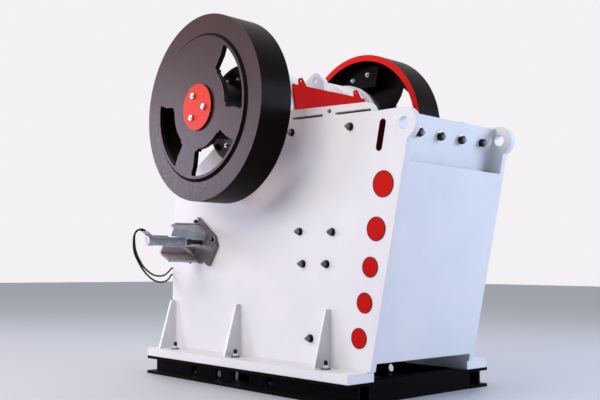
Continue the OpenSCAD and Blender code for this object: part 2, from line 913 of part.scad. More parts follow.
module flywheel() {
    back = wheel_y - wheel_w;
    face = wheel_w + disc_rise;
    web_back = face - web_t;
    color(satin_black)
        translate([0, 0, shaft_h])
            difference() {
                rotate([90, 0, 0])
                    translate([0, 0, back])
                        rotate_extrude()
                            polygon([
                                [seat_r, face - hub_len], [hub_r, face - hub_len],
                                [hub_r, web_back], [wheel_r - rim_t, web_back],
                                [wheel_r - rim_t, 0], [wheel_r, 0], [wheel_r, wheel_w],
                                [wheel_r - rim_face_w, wheel_w], [disc_r, face],
                                [seat_r, face]
                            ]);
                for (k = [0, 2, 3])
                    rotate([0, -wheel_phase + 45 - 90 * k, 0])
                        rotate([90, 0, 0])
                            translate([0, 0, back])
                                linear_extrude(face + 1) spoke_window();
            }
}

// Block bolted to the web's closed quarter
module counterweight() {
    web_back = hub_y - web_t;
    color("#242426")
        translate([0, 0, shaft_h])
            rotate([0, -wheel_phase - 90, 0])
                rotate([90, 0, 0])
                    translate([0, 0, web_back - counter_t - seat_play])
                        linear_extrude(counter_t) ring_sector(counter_r1, counter_r2, counter_span);
}

module hub_cap() {
    color(signal_red) translate([0, 0, shaft_h]) y_rod(cap_r, -hub_y - cap_t, -hub_y);
}

// Casting of the swing jaw: barrel with two collars, wall, ribs and toggle boss
module pitman() {
    half = jaw_w / 2;
    back_x = -die_t / cos(jaw_lean) - seat_play;
    wall_x = back_x - pitman_wall_t;
    seat_x = toggle_len - end_r;
    neck_z = shaft_h - neck_drop;
    ribs = [-1, -0.34, 0.34, 1];
    color(paint)
        difference() {
            union() {
                on_barrel() {
                    y_rod(barrel_r, -half, half);
                    for (m = [0, 1])
                        mirror([0, m, 0]) y_rod(collar_r, -half, -half + collar_w);
                }
                xz_plate(-half, half)
                    polygon([
                        [jaw_face_x(jaw_top_z) + back_x, jaw_top_z],
                        [jaw_face_x(jaw_foot_z) + back_x, jaw_foot_z],
                        [jaw_face_x(jaw_foot_z) + wall_x, jaw_foot_z],
                        [jaw_face_x(jaw_top_z) + wall_x - pitman_rib_t, jaw_top_z],
                        [neck_x[0], neck_z], [neck_x[1], neck_z]
                    ]);
                for (k = ribs)
                    translate([0, k * (half - pitman_rib_t / 2), 0])
                        xz_plate(-pitman_rib_t / 2, pitman_rib_t / 2)
                            polygon([
                                [jaw_face_x(jaw_foot_z) + wall_x + 5, jaw_foot_z],
                                [rod_front_x, jaw_foot_z], [rod_front_x - rib_step[0], rod_z + rib_step[1]],
                                toggle_pt(seat_x, -boss_foot), toggle_pt(seat_x, boss_top),
                                rib_heel, [0, neck_z], [neck_x[1] - rib_inset, neck_z],
                                [jaw_face_x(jaw_top_z) + wall_x, jaw_top_z]
                            ]);
                xz_plate(-toggle_w / 2, toggle_w / 2)
                    polygon([
                        toggle_pt(seat_x, -boss_foot), toggle_pt(seat_x, boss_top),
                        toggle_pt(seat_x + boss_l, boss_top), toggle_pt(seat_x + boss_l, -boss_foot)
                    ]);
                for (y = [-rod_spacing / 2, rod_spacing / 2])
                    translate([rod_front_x, y - lug_w / 2, jaw_foot_z])
                        cube([lug_w, lug_w, 2 * (rod_z - jaw_foot_z)]);
                lifting_fin();
            }
            on_barrel() y_rod(eccentric_r + run_gap, -jaw_w, jaw_w);
            on_toggle()
                translate([seat_x, 0, 0]) y_rod(end_r + seat_play, -jaw_w, jaw_w);
        }
}

// Lifting ear on top of the barrel, steep towards the feed
module lifting_fin() {
    eye = [274, 424];
    crown_r = 72;
    on_barrel()
        xz_plate(-fin_t / 2, fin_t / 2)
            difference() {
                union() {
                    polygon([
                        [60, barrel_r - 60], [129, barrel_r + 8], [eye[0] - 22, eye[1] + 68],
                        [eye[0] + 62, eye[1] + 38], [392, barrel_r - 25], [405, 240], [200, 240]
                    ]);
                    translate(eye) circle(r = crown_r);
                }
                translate(eye) circle(r = 33);
            }
}

module swing_jaw_die() {
    length = (jaw_top_z - jaw_foot_z) / cos(jaw_lean);
    color(cast_steel)
        translate([jaw_face_x(jaw_top_z), 0, jaw_top_z])
            rotate([0, -jaw_lean, 0])
                translate([-die_t, 0, -length])
                    rotate([0, 0, -90]) linear_extrude(length) die_profile(jaw_w, tooth_n - 1);
}

// Guard across the barrel, with two lifting loops and two brackets
module pitman_guard() {
    half = jaw_w / 2 - guard_inset;
    back = collar_r + seat_play;
    loop_y = half - loop_inset;
    bracket_y = half * 0.4;
    color(signal_red)
        on_barrel()
            rotate([0, -guard_lean, 0]) {
                translate([back, -half, guard_foot]) cube([guard_t, 2 * half, guard_top - guard_foot]);
                for (y = [-loop_y, loop_y])
                    translate([back, y, guard_top])
                        rotate([90, 0, 90])
                            linear_extrude(guard_t)
                                difference() {
                                    union() {
                                        translate([0, loop_rise]) circle(r = loop_r);
                                        polygon([
                                            [-loop_r, -5], [-loop_r, loop_rise],
                                            [loop_r * cos(28), loop_rise + loop_r * sin(28)],
                                            [loop_spread, -5]
                                        ]);
                                    }
                                    long_hole(
                                        [0, loop_rise - (loop_hole[1] - loop_hole[0]) / 2],
                                        [0, loop_rise + (loop_hole[1] - loop_hole[0]) / 2], loop_hole[0]
                                    );
                                }
                for (y = [-bracket_y, bracket_y])
                    xz_plate(y - guard_t / 2, y + guard_t / 2)
                        difference() {
                            polygon([
                                [barrel_r - 60, bracket_foot], [back + 1, 0],
                                [back + 1, guard_top - 20], [barrel_r - 60, bracket_top]
                            ]);
                            circle(r = barrel_r + seat_play);
                        }
            }
}

side_plate();  // side_plate_near
far_side() side_plate();  // side_plate_far
base_flange();  // base_flange_near
far_side() base_flange();  // base_flange_far
gussets();  // gussets_near
far_side() gussets();  // gussets_far
skid_beam();  // skid_beam_near
far_side() skid_beam();  // skid_beam_far
skid_cross_members();
front_frame();
front_upper_plate();
jaw_wedge();
rear_beam();
bearing_housing();  // bearing_housing_near
far_side() bearing_housing();  // bearing_housing_far
pin_covers();  // pin_covers_near
far_side() pin_covers();  // pin_covers_far
fixed_jaw_die();
cheek_plates();  // cheek_plates_near
far_side() cheek_plates();  // cheek_plates_far
toggle_seat();
wedges();
wedge_cylinder();  // wedge_cylinder_near
far_side() wedge_cylinder();  // wedge_cylinder_far
wedge_bracket();  // wedge_bracket_near
far_side() wedge_bracket();  // wedge_bracket_far
hose(upper_route);  // upper_hose_near
far_side() hose(upper_route);  // upper_hose_far
hose(lower_route);  // lower_hose_near
far_side() hose(lower_route);  // lower_hose_far
return_springs();
eccentric_shaft();
flywheel();  // flywheel_near
far_side() flywheel();  // flywheel_far
counterweight();  // counterweight_near
far_side() counterweight();  // counterweight_far
hub_cap();  // hub_cap_near
far_side() hub_cap();  // hub_cap_far
pitman();
swing_jaw_die();
pitman_guard();
toggle_plate();
return_rods();
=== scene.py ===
"""Dresses a single-toggle jaw crusher: painted plate, castings, machined steel, bolts and hoses.

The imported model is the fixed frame. Every length in the part's classes is in millimetres and every
position is in the frame's own axes: X to the feed end, Y across the machine, Z up from the floor.
The view and the studio are in metres, as Blender has them.
"""

import logging
import math
import random
from collections.abc import Iterable, Sequence
from dataclasses import dataclass
from enum import Enum

import bmesh
import bpy
from mathutils import Matrix, Vector


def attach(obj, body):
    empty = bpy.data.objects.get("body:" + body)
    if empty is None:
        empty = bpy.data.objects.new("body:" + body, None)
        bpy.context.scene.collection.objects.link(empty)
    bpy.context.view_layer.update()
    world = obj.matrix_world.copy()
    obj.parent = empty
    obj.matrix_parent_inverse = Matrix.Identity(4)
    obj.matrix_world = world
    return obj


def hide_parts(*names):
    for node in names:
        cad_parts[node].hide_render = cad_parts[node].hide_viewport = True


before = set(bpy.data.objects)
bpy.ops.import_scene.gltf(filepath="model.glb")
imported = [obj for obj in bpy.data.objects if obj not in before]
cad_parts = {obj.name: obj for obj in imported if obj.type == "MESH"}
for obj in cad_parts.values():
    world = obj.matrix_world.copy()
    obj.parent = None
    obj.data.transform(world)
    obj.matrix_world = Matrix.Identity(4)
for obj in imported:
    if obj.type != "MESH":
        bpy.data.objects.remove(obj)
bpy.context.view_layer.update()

LOG = logging.getLogger("jaw_crusher")
MM = 0.001
# Height of the shaft's centre line in mm
SHAFT_Z = 2577.0

Pair = tuple[float, float]
Point = tuple[float, float, float]
Profile = Sequence[Pair]
Limits = tuple[float | None, float | None]
Socket = bpy.types.NodeSocket

UP: Point = (0.0, 0.0, 1.0)


class Body(Enum):
    """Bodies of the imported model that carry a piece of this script."""

    FRAME = "frame"
    ROTOR = "rotor"


class Side(Enum):
    """Side of the machine, as the sign of its Y."""

    NEAR = -1
    FAR = 1

    @property
    def tag(self) -> str:
        """The ending that the side's node names carry."""
        return self.name.lower()

    @property
    def out(self) -> Point:
        """Direction out of the machine."""
        return (0.0, self.y(1.0), 0.0)

    @property
    def inward(self) -> Point:
        """Direction to the machine's middle."""
        return (0.0, self.y(-1.0), 0.0)

    def y(self, distance: float) -> float:
        """Y on this side at a distance from the machine's middle."""
        return self.value * distance


def linear(code: str) -> tuple[float, float, float, float]:
    """Turns an sRGB hex colour into linear RGBA.

    Args:
        code: Colour such as "#d2232a".

    Returns:
        Linear red, green, blue and an alpha of 1.
    """
    parts = [int(code[i:i + 2], 16) / 255 for i in (1, 3, 5)]
    values = [c / 12.92 if c <= 0.04045 else ((c + 0.055) / 1.055) ** 2.4 for c in parts]
    return (values[0], values[1], values[2], 1.0)


def feed(tree: bpy.types.NodeTree, socket: Socket, value: float | Sequence | Socket) -> None:
    """Links an output to an input, or sets the input's value.

    Args:
        tree: The node tree of both.
        socket: The input.
        value: The output or the value.
    """
    if isinstance(value, Socket):
        tree.links.new(value, socket)
    else:
        socket.default_value = value


def add(tree: bpy.types.NodeTree, kind: str, inputs: dict | None = None, **settings) -> bpy.types.Node:
    """Adds a shader node with its settings, values and links.

    Args:
        tree: The node tree that gets the node.
        kind: The node's type name.
        inputs: Values or output sockets by input name or number.
        **settings: Properties of the node itself.

    Returns:
        The new node.
    """
    node = tree.nodes.new(kind)
    for name, value in settings.items():
        setattr(node, name, value)
    for name, value in (inputs or {}).items():
        feed(tree, node.inputs[name], value)
    return node


class Surface:
    """A material under construction, with the patterns that its finishes share."""

    # Height of the normal on an upright face, and on one level enough to hold dust
    UPRIGHT, LEVEL = 0.3, 0.95
    # Cosine between real and rounded normal where the band along an edge starts and is full
    FLAT, EDGE = 0.995, 0.85
    # Values between which nearly all of a noise pattern lies
    NOISE_LOW, NOISE_HIGH = 0.3, 0.7
    # Half the width in mm over which a patch fades out
    FADE = 1.0
    # Samples of the bevel that rounds edges in the shading
    BEVEL_SAMPLES = 6

    def __init__(self, name: str) -> None:
        """Starts a material with one Principled shader.

        Args:
            name: The material's name.
        """
        self.material = bpy.data.materials.new(name)
        self.material.use_nodes = True
        self.tree = self.material.node_tree
        self.shader = self.tree.nodes["Principled BSDF"]
        self.place = add(self.tree, "ShaderNodeTexCoord").outputs["Object"]

    def set(self, **values) -> None:
        """Sets or links inputs of the shader, named with underscores for spaces."""
        for key, value in values.items():
            feed(self.tree, self.shader.inputs[key.replace("_", " ")], value)

    def noise(self, size: float, detail: float = 3.0, stretch: Point = (1, 1, 1)) -> Socket:
        """Soft random pattern with features of a size in mm, squeezed by stretch along X, Y, Z."""
        place = add(self.tree, "ShaderNodeMapping", {"Vector": self.place, "Scale": stretch})
        return add(self.tree, "ShaderNodeTexNoise",
                   {"Vector": place.outputs[0], "Scale": 1 / (size * MM),
                    "Detail": detail}).outputs["Fac"]

    def cells(self, size: float) -> Socket:
        """Crystal cells of a size in mm, each with its own random colour."""
        return add(self.tree, "ShaderNodeTexVoronoi",
                   {"Vector": self.place, "Scale": 1 / (size * MM)}).outputs["Color"]

    def span(self, value: Socket, low: float, high: float,
             start: float | Socket = 0.0, end: float = 1.0) -> Socket:
        """Maps a value so that low gives start and high gives end, clamped beyond them."""
        return add(self.tree, "ShaderNodeMapRange",
                   {"Value": value, "From Min": low, "From Max": high,
                    "To Min": start, "To Max": end}).outputs["Result"]

    def uneven(self, pattern: Socket, middle: float, less: float, more: float) -> Socket:
        """Lets a value waver with a noise pattern, from less below its middle to more above."""
        return self.span(pattern, self.NOISE_LOW, self.NOISE_HIGH, middle - less, middle + more)

    def blend(self, share: Socket, first: str | Socket, second: str | Socket) -> Socket:
        """Mixes two colours, given in hex or as sockets, by the second's share."""
        ends = [linear(c) if isinstance(c, str) else c for c in (first, second)]
        return add(self.tree, "ShaderNodeMix", {0: share, 6: ends[0], 7: ends[1]},
                   data_type="RGBA").outputs[2]

    def drift(self, pattern: Socket, low: float, high: float, first: str, second: str) -> Socket:
        """Lets one colour drift into the other where a pattern rises from low to high."""
        return self.blend(self.span(pattern, low, high), first, second)

    def combine(self, first: Socket, second: float | Socket, how: str = "MULTIPLY") -> Socket:
        """Combines two values with a math operation."""
        return add(self.tree, "ShaderNodeMath", {0: first, 1: second}, operation=how).outputs[0]

    def upward(self) -> Socket:
        """How far a face looks up, from 0 on upright faces to 1 on level ones."""
        normal = add(self.tree, "ShaderNodeNewGeometry").outputs["Normal"]
        return self.span(self.axis("Z", normal), self.UPRIGHT, self.LEVEL)

    def axis(self, letter: str, vector: Socket) -> Socket:
        """One component of a vector."""
        return add(self.tree, "ShaderNodeSeparateXYZ", {0: vector}).outputs[letter]

    def mask(self, patch: "Patch") -> Socket:
        """Share of a patch at each point.

        Args:
            patch: The box, limited on one side at least.

        Returns:
            1 inside the box and 0 outside, with a soft step between.
        """
        share = None
        for letter, limits in (("X", patch.x), ("Y", patch.y), ("Z", patch.z)):
            place = self.axis(letter, self.place)
            if letter == "Y":
                place = self.combine(place, 0.0, "ABSOLUTE")
            for limit, fade in zip(limits, (self.FADE, -self.FADE)):
                if limit is not None:
                    step = self.span(place, (limit - fade) * MM, (limit + fade) * MM)
                    share = step if share is None else self.combine(share, step)
        return share

    def patched(self, tone: Socket, patches: Iterable["Patch"]) -> Socket:
        """Paints boxes of the object's own space in other colours.

        Args:
            tone: The colour around them.
            patches: The boxes.

        Returns:
            The colour with the boxes in it.
        """
        for patch in patches:
            tone = self.blend(self.mask(patch), tone, patch.colour)
        return tone

    def relief(self, heights: Iterable[tuple[Socket, float]], edge: float) -> None:
        """Rounds the edges softly and adds bumps.

        Args:
            heights: Patterns, each with the depth in mm that it spans.
            edge: Radius in mm by which edges look rounded.
        """
        normal = self.softened(edge)
        for height, depth in heights:
            bump = add(self.tree, "ShaderNodeBump",
                       {"Height": height, "Distance": depth * MM, "Strength": 1.0,
                        "Normal": normal})
            normal = bump.outputs[0]
        self.set(Normal=normal)

    def softened(self, edge: float) -> Socket:
        """The normal with edges rounded by a radius in mm."""
        return add(self.tree, "ShaderNodeBevel", {"Radius": edge * MM},
                   samples=self.BEVEL_SAMPLES).outputs[0]

    def rounded(self, edge: float) -> Socket:
        """Mask of the band along convex and concave edges.

        Args:
            edge: Width of the band in mm.

        Returns:
            0 on flats and up to 1 along edges.
        """
        hard = add(self.tree, "ShaderNodeNewGeometry").outputs["Normal"]
        dot = add(self.tree, "ShaderNodeVectorMath", {0: self.softened(edge), 1: hard},
                  operation="DOT_PRODUCT")
        return self.span(dot.outputs["Value"], self.FLAT, self.EDGE)


@dataclass(frozen=True)
class Patch:
    """A box of the object's own space that carries another colour, and another gloss if given.

    Its limits in mm are None where there are none. Those of Y count from the middle outward.
    """

    colour: str
    x: Limits = (None, None)
    y: Limits = (None, None)
    z: Limits = (None, None)
    gloss: float | None = None


@dataclass(frozen=True)
class Coat:
    """What every finish has: a name, a main colour, soft patches of a shade, and roughness."""

    name: str
    colour: str
    shade: str
    roughness: float

    def build(self) -> bpy.types.Material:
        """Makes the material.

        Returns:
            The finished material.
        """
        surface = Surface(self.name)
        self.lay(surface)
        return surface.material

    def lay(self, s: Surface) -> None:
        """Lays the finish on a bare surface; every finish has its own way."""
        raise NotImplementedError


@dataclass(frozen=True)
class Enamel(Coat):
    """Two-pack enamel sprayed on steel plate: an even gloss over slightly wavy plate.

    Attributes:
        dust: Colour of the dust that lies on level faces.
        dust_share: How much dust shows on level faces.
        gloss: Specular level of the paint, 0.5 for a clean new one.
        coat: Weight of the clear gloss on top.
        edge: Radius in mm of the paint round an edge.
        patches: Places in another colour.
    """

    dust: str
    dust_share: float
    gloss: float
    coat: float = 0.0
    edge: float = 5.0
    patches: tuple[Patch, ...] = ()

    # Plate rolled and welded is flat to about 1 mm over half a metre
    WAVE, WAVE_DEPTH = 450.0, 0.9
    # The spray's own mottle is 2 mm wide, drawn at 30 mm so that it shows
    MOTTLE, MOTTLE_DEPTH = 30.0, 0.12
    # Width of a patch of dust, and what full dust adds to the roughness
    DUST, DUST_ROUGH = 70.0, 0.35
    # Refraction of paint resin, and the roughness of the clear gloss
    IOR, COAT_ROUGH = 1.5, 0.12

    def lay(self, s: Surface) -> None:
        """Lays the finish on a surface.

        Args:
            s: The surface, bare so far.
        """
        tone = s.drift(s.noise(self.WAVE, 4), 0.35, 0.7, self.colour, self.shade)
        tone = s.patched(tone, self.patches)
        settled = s.combine(s.upward(), s.span(s.noise(self.DUST, 6), 0.3, 0.8, 0.2, 1.0))
        settled = s.combine(settled, self.dust_share)
        s.set(Base_Color=s.blend(settled, tone, self.dust))
        rough = s.uneven(s.noise(self.MOTTLE, 5), self.roughness, 0.05, 0.07)
        s.set(Roughness=s.combine(rough, s.combine(settled, self.DUST_ROUGH), "ADD"))
        level = self.gloss
        for patch in self.patches:
            if patch.gloss is not None:
                level = s.span(s.mask(patch), 0.0, 1.0, level, patch.gloss)
        s.set(IOR=self.IOR, Specular_IOR_Level=level, Coat_Weight=self.coat,
              Coat_Roughness=self.COAT_ROUGH, Coat_IOR=self.IOR)
        s.relief([(s.noise(self.WAVE, 1), self.WAVE_DEPTH),
                  (s.noise(self.MOTTLE, 3), self.MOTTLE_DEPTH)], self.edge)


@dataclass(frozen=True)
class Casting(Coat):
    """Sand-cast iron or manganese steel: matt and gritty, worn to another colour at the edges."""

    worn: str
    metallic: float
    worn_share: float

    # Grit of the sand mould is 1 mm, drawn at 9 mm so that it shows
    GRIT, GRIT_DEPTH = 9.0, 0.5
    # Flow marks and patches of the cast skin
    PATCH, PATCH_DEPTH = 130.0, 1.2
    # Band along an edge that is rubbed bare, the length of a bare stretch and the edge's radius
    BAND, RUB, EDGE = 9.0, 40.0, 6.0

    def lay(self, s: Surface) -> None:
        """Lays the finish on a surface.

        Args:
            s: The surface, bare so far.
        """
        tone = s.drift(s.noise(self.PATCH, 5), 0.35, 0.68, self.colour, self.shade)
        bare = s.combine(s.rounded(self.BAND), s.span(s.noise(self.RUB, 5), 0.35, 0.6))
        bare = s.combine(bare, self.worn_share)
        s.set(Base_Color=s.blend(bare, tone, self.worn), Metallic=self.metallic)
        s.set(Roughness=s.uneven(s.noise(self.GRIT * 3, 4), self.roughness, 0.1, 0.1))
        s.relief([(s.noise(self.PATCH, 2), self.PATCH_DEPTH),
                  (s.noise(self.GRIT, 3), self.GRIT_DEPTH)], self.EDGE)


@dataclass(frozen=True)
class Zinc(Coat):
    """Zinc-rich primer and galvanising on steel: cool, softly clouded, with a faint spangle."""

    patches: tuple[Patch, ...] = ()

    # A spangle is 8 to 15 mm across and faint under the primer
    SPANGLE, SPANGLE_SHARE = 12.0, 0.18
    CLOUD, CLOUD_DEPTH = 90.0, 0.4
    # Primer with zinc dust is only partly a metal
    METALLIC, EDGE = 0.3, 3.0

    def lay(self, s: Surface) -> None:
        """Lays the finish on a surface.

        Args:
            s: The surface, bare so far.
        """
        tone = s.drift(s.noise(self.CLOUD, 4), 0.35, 0.7, self.colour, self.shade)
        flake = add(s.tree, "ShaderNodeSeparateColor", {0: s.cells(self.SPANGLE)}).outputs[0]
        tone = s.blend(s.combine(flake, self.SPANGLE_SHARE), tone, self.shade)
        s.set(Base_Color=s.patched(tone, self.patches), Metallic=self.METALLIC)
        s.set(Roughness=s.span(flake, 0.0, 1.0, self.roughness - 0.08, self.roughness + 0.1))
        s.relief([(s.noise(self.CLOUD, 2), self.CLOUD_DEPTH)], self.EDGE)


@dataclass(frozen=True)
class Machined(Coat):
    """Turned or milled steel: bright, with fine tool marks that draw out the highlight.

    Attributes:
        marks: Factors that squeeze the tool marks along X, Y and Z.
    """

    marks: Point = (1.0, 14.0, 1.0)

    # Tool marks are 0.3 mm apart, drawn at 6 mm (80 mm, squeezed 14 times) so that they show
    MARK, MARK_DEPTH = 80.0, 0.06
    HANDLED, EDGE = 60.0, 2.0

    def lay(self, s: Surface) -> None:
        """Lays the finish on a surface.

        Args:
            s: The surface, bare so far.
        """
        marks = s.noise(self.MARK, 4, self.marks)
        tone = s.drift(s.noise(self.HANDLED, 4), 0.4, 0.75, self.colour, self.shade)
        s.set(Base_Color=tone, Metallic=1.0)
        s.set(Roughness=s.uneven(marks, self.roughness, 0.08, 0.12))
        s.relief([(marks, self.MARK_DEPTH)], self.EDGE)


@dataclass(frozen=True)
class Rubber(Coat):
    """Extruded synthetic rubber with a cloth-wrapped cover: matt black, a faint bias weave."""

    # The wrap's ridges are 2.5 mm apart, drawn 18 mm apart so that they show, which is what the
    # band texture makes of a size of 50 mm
    WRAP, WRAP_DEPTH = 50.0, 0.15
    # Clouds of bloom, and the finer ones of handling
    BLOOM, HANDLED = 25.0, 12.0
    IOR, GLOSS, EDGE = 1.52, 0.25, 1.0

    def lay(self, s: Surface) -> None:
        """Lays the finish on a surface.

        Args:
            s: The surface, bare so far.
        """
        s.set(Base_Color=s.drift(s.noise(self.BLOOM, 4), 0.4, 0.8, self.colour, self.shade))
        s.set(Roughness=s.uneven(s.noise(self.HANDLED, 3), self.roughness, 0.07, 0.07),
              IOR=self.IOR, Specular_IOR_Level=self.GLOSS)
        wrap = add(s.tree, "ShaderNodeTexWave",
                   {"Vector": s.place, "Scale": 1 / (self.WRAP * MM)},
                   wave_type="BANDS", bands_direction="DIAGONAL")
        s.relief([(wrap.outputs["Fac"], self.WRAP_DEPTH)], self.EDGE)


class Finish(Enum):
    """The finishes of the machine, named for what each one is."""

    # Off-white machine enamel, satin: reads as clean painted plate with soft cool shade
    WHITE = Enamel("off_white_machine_enamel", "#ebe9ed", "#e3e4ea", dust="#cfc8c2",
                   roughness=0.38, dust_share=0.2, gloss=0.35, coat=0.05)
    # The same enamel on the side plates, duller, with red oxide in the slots beside the jaw wedge, darkened
    # as painted shade inside the slots
    PLATE = Enamel("off_white_plate_enamel", "#ebe9ed", "#e3e4ea", dust="#cfc8c2",
                   roughness=0.42, dust_share=0.2, gloss=0.2,
                   # Red oxide on the slot walls; its darkness is painted shade
                   patches=(Patch("#6e1218", x=(1690.0, 1815.0), y=(636.0, 697.0),
                                  z=(2030.0, 2330.0)),))
    # Satin black enamel, red on the inboard rings; the lighter brown on the flat outer faces is a painted
    # reflection, glossier than the black
    WHEEL = Enamel("satin_black_wheel_enamel", "#0d0708", "#120a0b", dust="#332f2e",
                   roughness=0.34, dust_share=0.04, gloss=0.03, edge=4.0,
                   patches=(Patch("#d8211a", y=(None, 895.0)),
                            # Painted reflection: ring face and raised disc face in lighter brown, the bevel
                            # between them left black
                            Patch("#3b2322", y=(1234.0, 1238.2), gloss=0.18),
                            Patch("#3b2322", y=(1258.8, None), gloss=0.18)))
    # The same black on the skid, duller from dust near the floor
    SKID = Enamel("satin_black_skid_enamel", "#060406", "#0b090b", dust="#4b4746",
                  roughness=0.42, dust_share=0.12, gloss=0.02)
    # Signal red enamel: the strongest colour of the machine
    RED = Enamel("signal_red_enamel", "#cb1208", "#be0e0a", dust="#a06a62",
                 roughness=0.32, dust_share=0.02, gloss=0.04)
    # The same red on the guard plate, painted lighter than the pins' red against the shade on it, and
    # near-black as painted shade where it dips behind the rails
    GUARD_RED = Enamel("signal_red_guard_enamel", "#e0100d", "#d20d0f", dust="#a06a62",
                       roughness=0.36, dust_share=0.02, gloss=0.03,
                       # Painted shade: near-black below the rails, where the slits show the guard
                       patches=(Patch("#26090b", z=(None, 2472.0)),))
    # The red on the hub caps, painted lighter as a painted highlight, with their side walls near-black as
    # painted shade
    CAP_RED = Enamel("bright_red_cap_enamel", "#dc3e2a", "#d63826", dust="#c08478",
                     roughness=0.34, dust_share=0.04, gloss=0.06,
                     # Painted shade: the cap's side wall below its face
                     patches=(Patch("#171012", y=(None, 1279.0)),))
    # A dark red for the thin rim round each pin cover, and for the dot in its centre, which is painted
    # shade of a small hole
    EDGE_RED = Enamel("rubbed_red_enamel", "#5a0b0e", "#48080b", dust="#6a5048",
                      roughness=0.45, dust_share=0.05, gloss=0.2, edge=1.0)
    # Jaw wedge: casting painted near-black as painted shade deep in its slot
    WEDGE = Casting("oiled_black_casting", "#1c1a1c", "#0f0e10", worn="#7d7b7a",
                    roughness=0.4, metallic=0.4, worn_share=0.4)
    # Manganese steel as cast, dark and dry, bright where edges rub
    JAW = Casting("cast_manganese_steel", "#4c4b4d", "#343335", worn="#9c9a98",
                  roughness=0.6, metallic=0.75, worn_share=0.6)
    # Bearing housings: grey iron in brown primer
    HOUSING = Casting("primed_grey_iron", "#5e4f4b", "#463a38", worn="#7c706c",
                      roughness=0.5, metallic=0.1, worn_share=0.3)
    # Forged toggle plate, return rods and springs with mill scale
    FORGED = Casting("forged_steel", "#56575b", "#3d3e42", worn="#a3a4a6",
                     roughness=0.45, metallic=0.85, worn_share=0.5)
    # Folded brackets of the wedge adjusters, with a painted warm reflection on the lower wing and painted
    # shade on the mounting plate
    ZINC = Zinc("zinc_grey_sheet", "#b4b8c1", "#989ca6", roughness=0.45,
                # Painted reflection: warm brownish tone on the lower wing's shaded face
                patches=(Patch("#b5a7a4", x=(-830.0, -705.0), y=(740.0, 1119.0),
                               z=(1150.0, 1312.0)),
                         # Painted shade: the mounting plate darker
                         Patch("#6a676a", y=(None, 739.0))))
    # Cylinders with a pale machined cap and a dark oiled rod
    CYLINDER = Zinc("zinc_grey_cylinder", "#9aa8b3", "#85939f", roughness=0.34,
                    patches=(Patch("#aba4a7", y=(1312.0, None)),
                             Patch("#33343a", y=(None, 961.7))))
    # Turned shaft and milled wedges
    MACHINED = Machined("machined_steel", "#a9abae", "#8b8d90", roughness=0.32)
    # Blackened nuts and washers
    BLACKENED = Machined("blackened_bolt_steel", "#26262a", "#17171a", roughness=0.4, marks=(3.0, 3.0, 3.0))
    # Turned thread ends of the big studs, oiled grey
    STUD = Machined("oiled_stud_steel", "#77777b", "#55555a", roughness=0.34, marks=(3.0, 3.0, 3.0))
    # Zinc-plated thread ends and cap screws, the small bright points of the machine
    PLATED = Machined("zinc_plated_bolt_steel", "#d9dadd", "#bfc1c6", roughness=0.24, marks=(3.0, 3.0, 3.0))
    # Hydraulic hose cover, and the dark strips in the slits, which are painted shade of the hollow behind
    # them
    RUBBER = Rubber("wrapped_hose_rubber", "#0b0b0d", "#18181b", roughness=0.55)

    @property
    def material(self) -> bpy.types.Material:
        """The finish's material, made on first use."""
        return bpy.data.materials.get(self.value.name) or self.value.build()


def polar(radius: float, angle: float) -> Pair:
    """Point on a circle round the origin, at an angle in radians."""
    return (radius * math.cos(angle), radius * math.sin(angle))


def round_shaft(side: Side, distance: float, radius: float, angle: float) -> Point:
    """Point on a circle round the shaft, at a distance from the machine's middle."""
    across, up = polar(radius, angle)
    return (across, side.y(distance), SHAFT_Z + up)


def facing(spot: Point, direction: Point) -> Matrix:
    """Place in metres at a spot in mm, with the local Z axis along a direction."""
    turn = Vector(direction).to_track_quat("Z", "Y").to_matrix().to_4x4()
    return Matrix.Translation(Vector(spot) * MM) @ turn


def add_object(name: str, data: bpy.types.ID) -> bpy.types.Object:
    """Adds an object to the scene.

    Args:
        name: Name of the object.
        data: Its mesh, lamp or camera.

    Returns:
        The new object.
    """
    made = bpy.data.objects.new(name, data)
    bpy.context.scene.collection.objects.link(made)
    return made


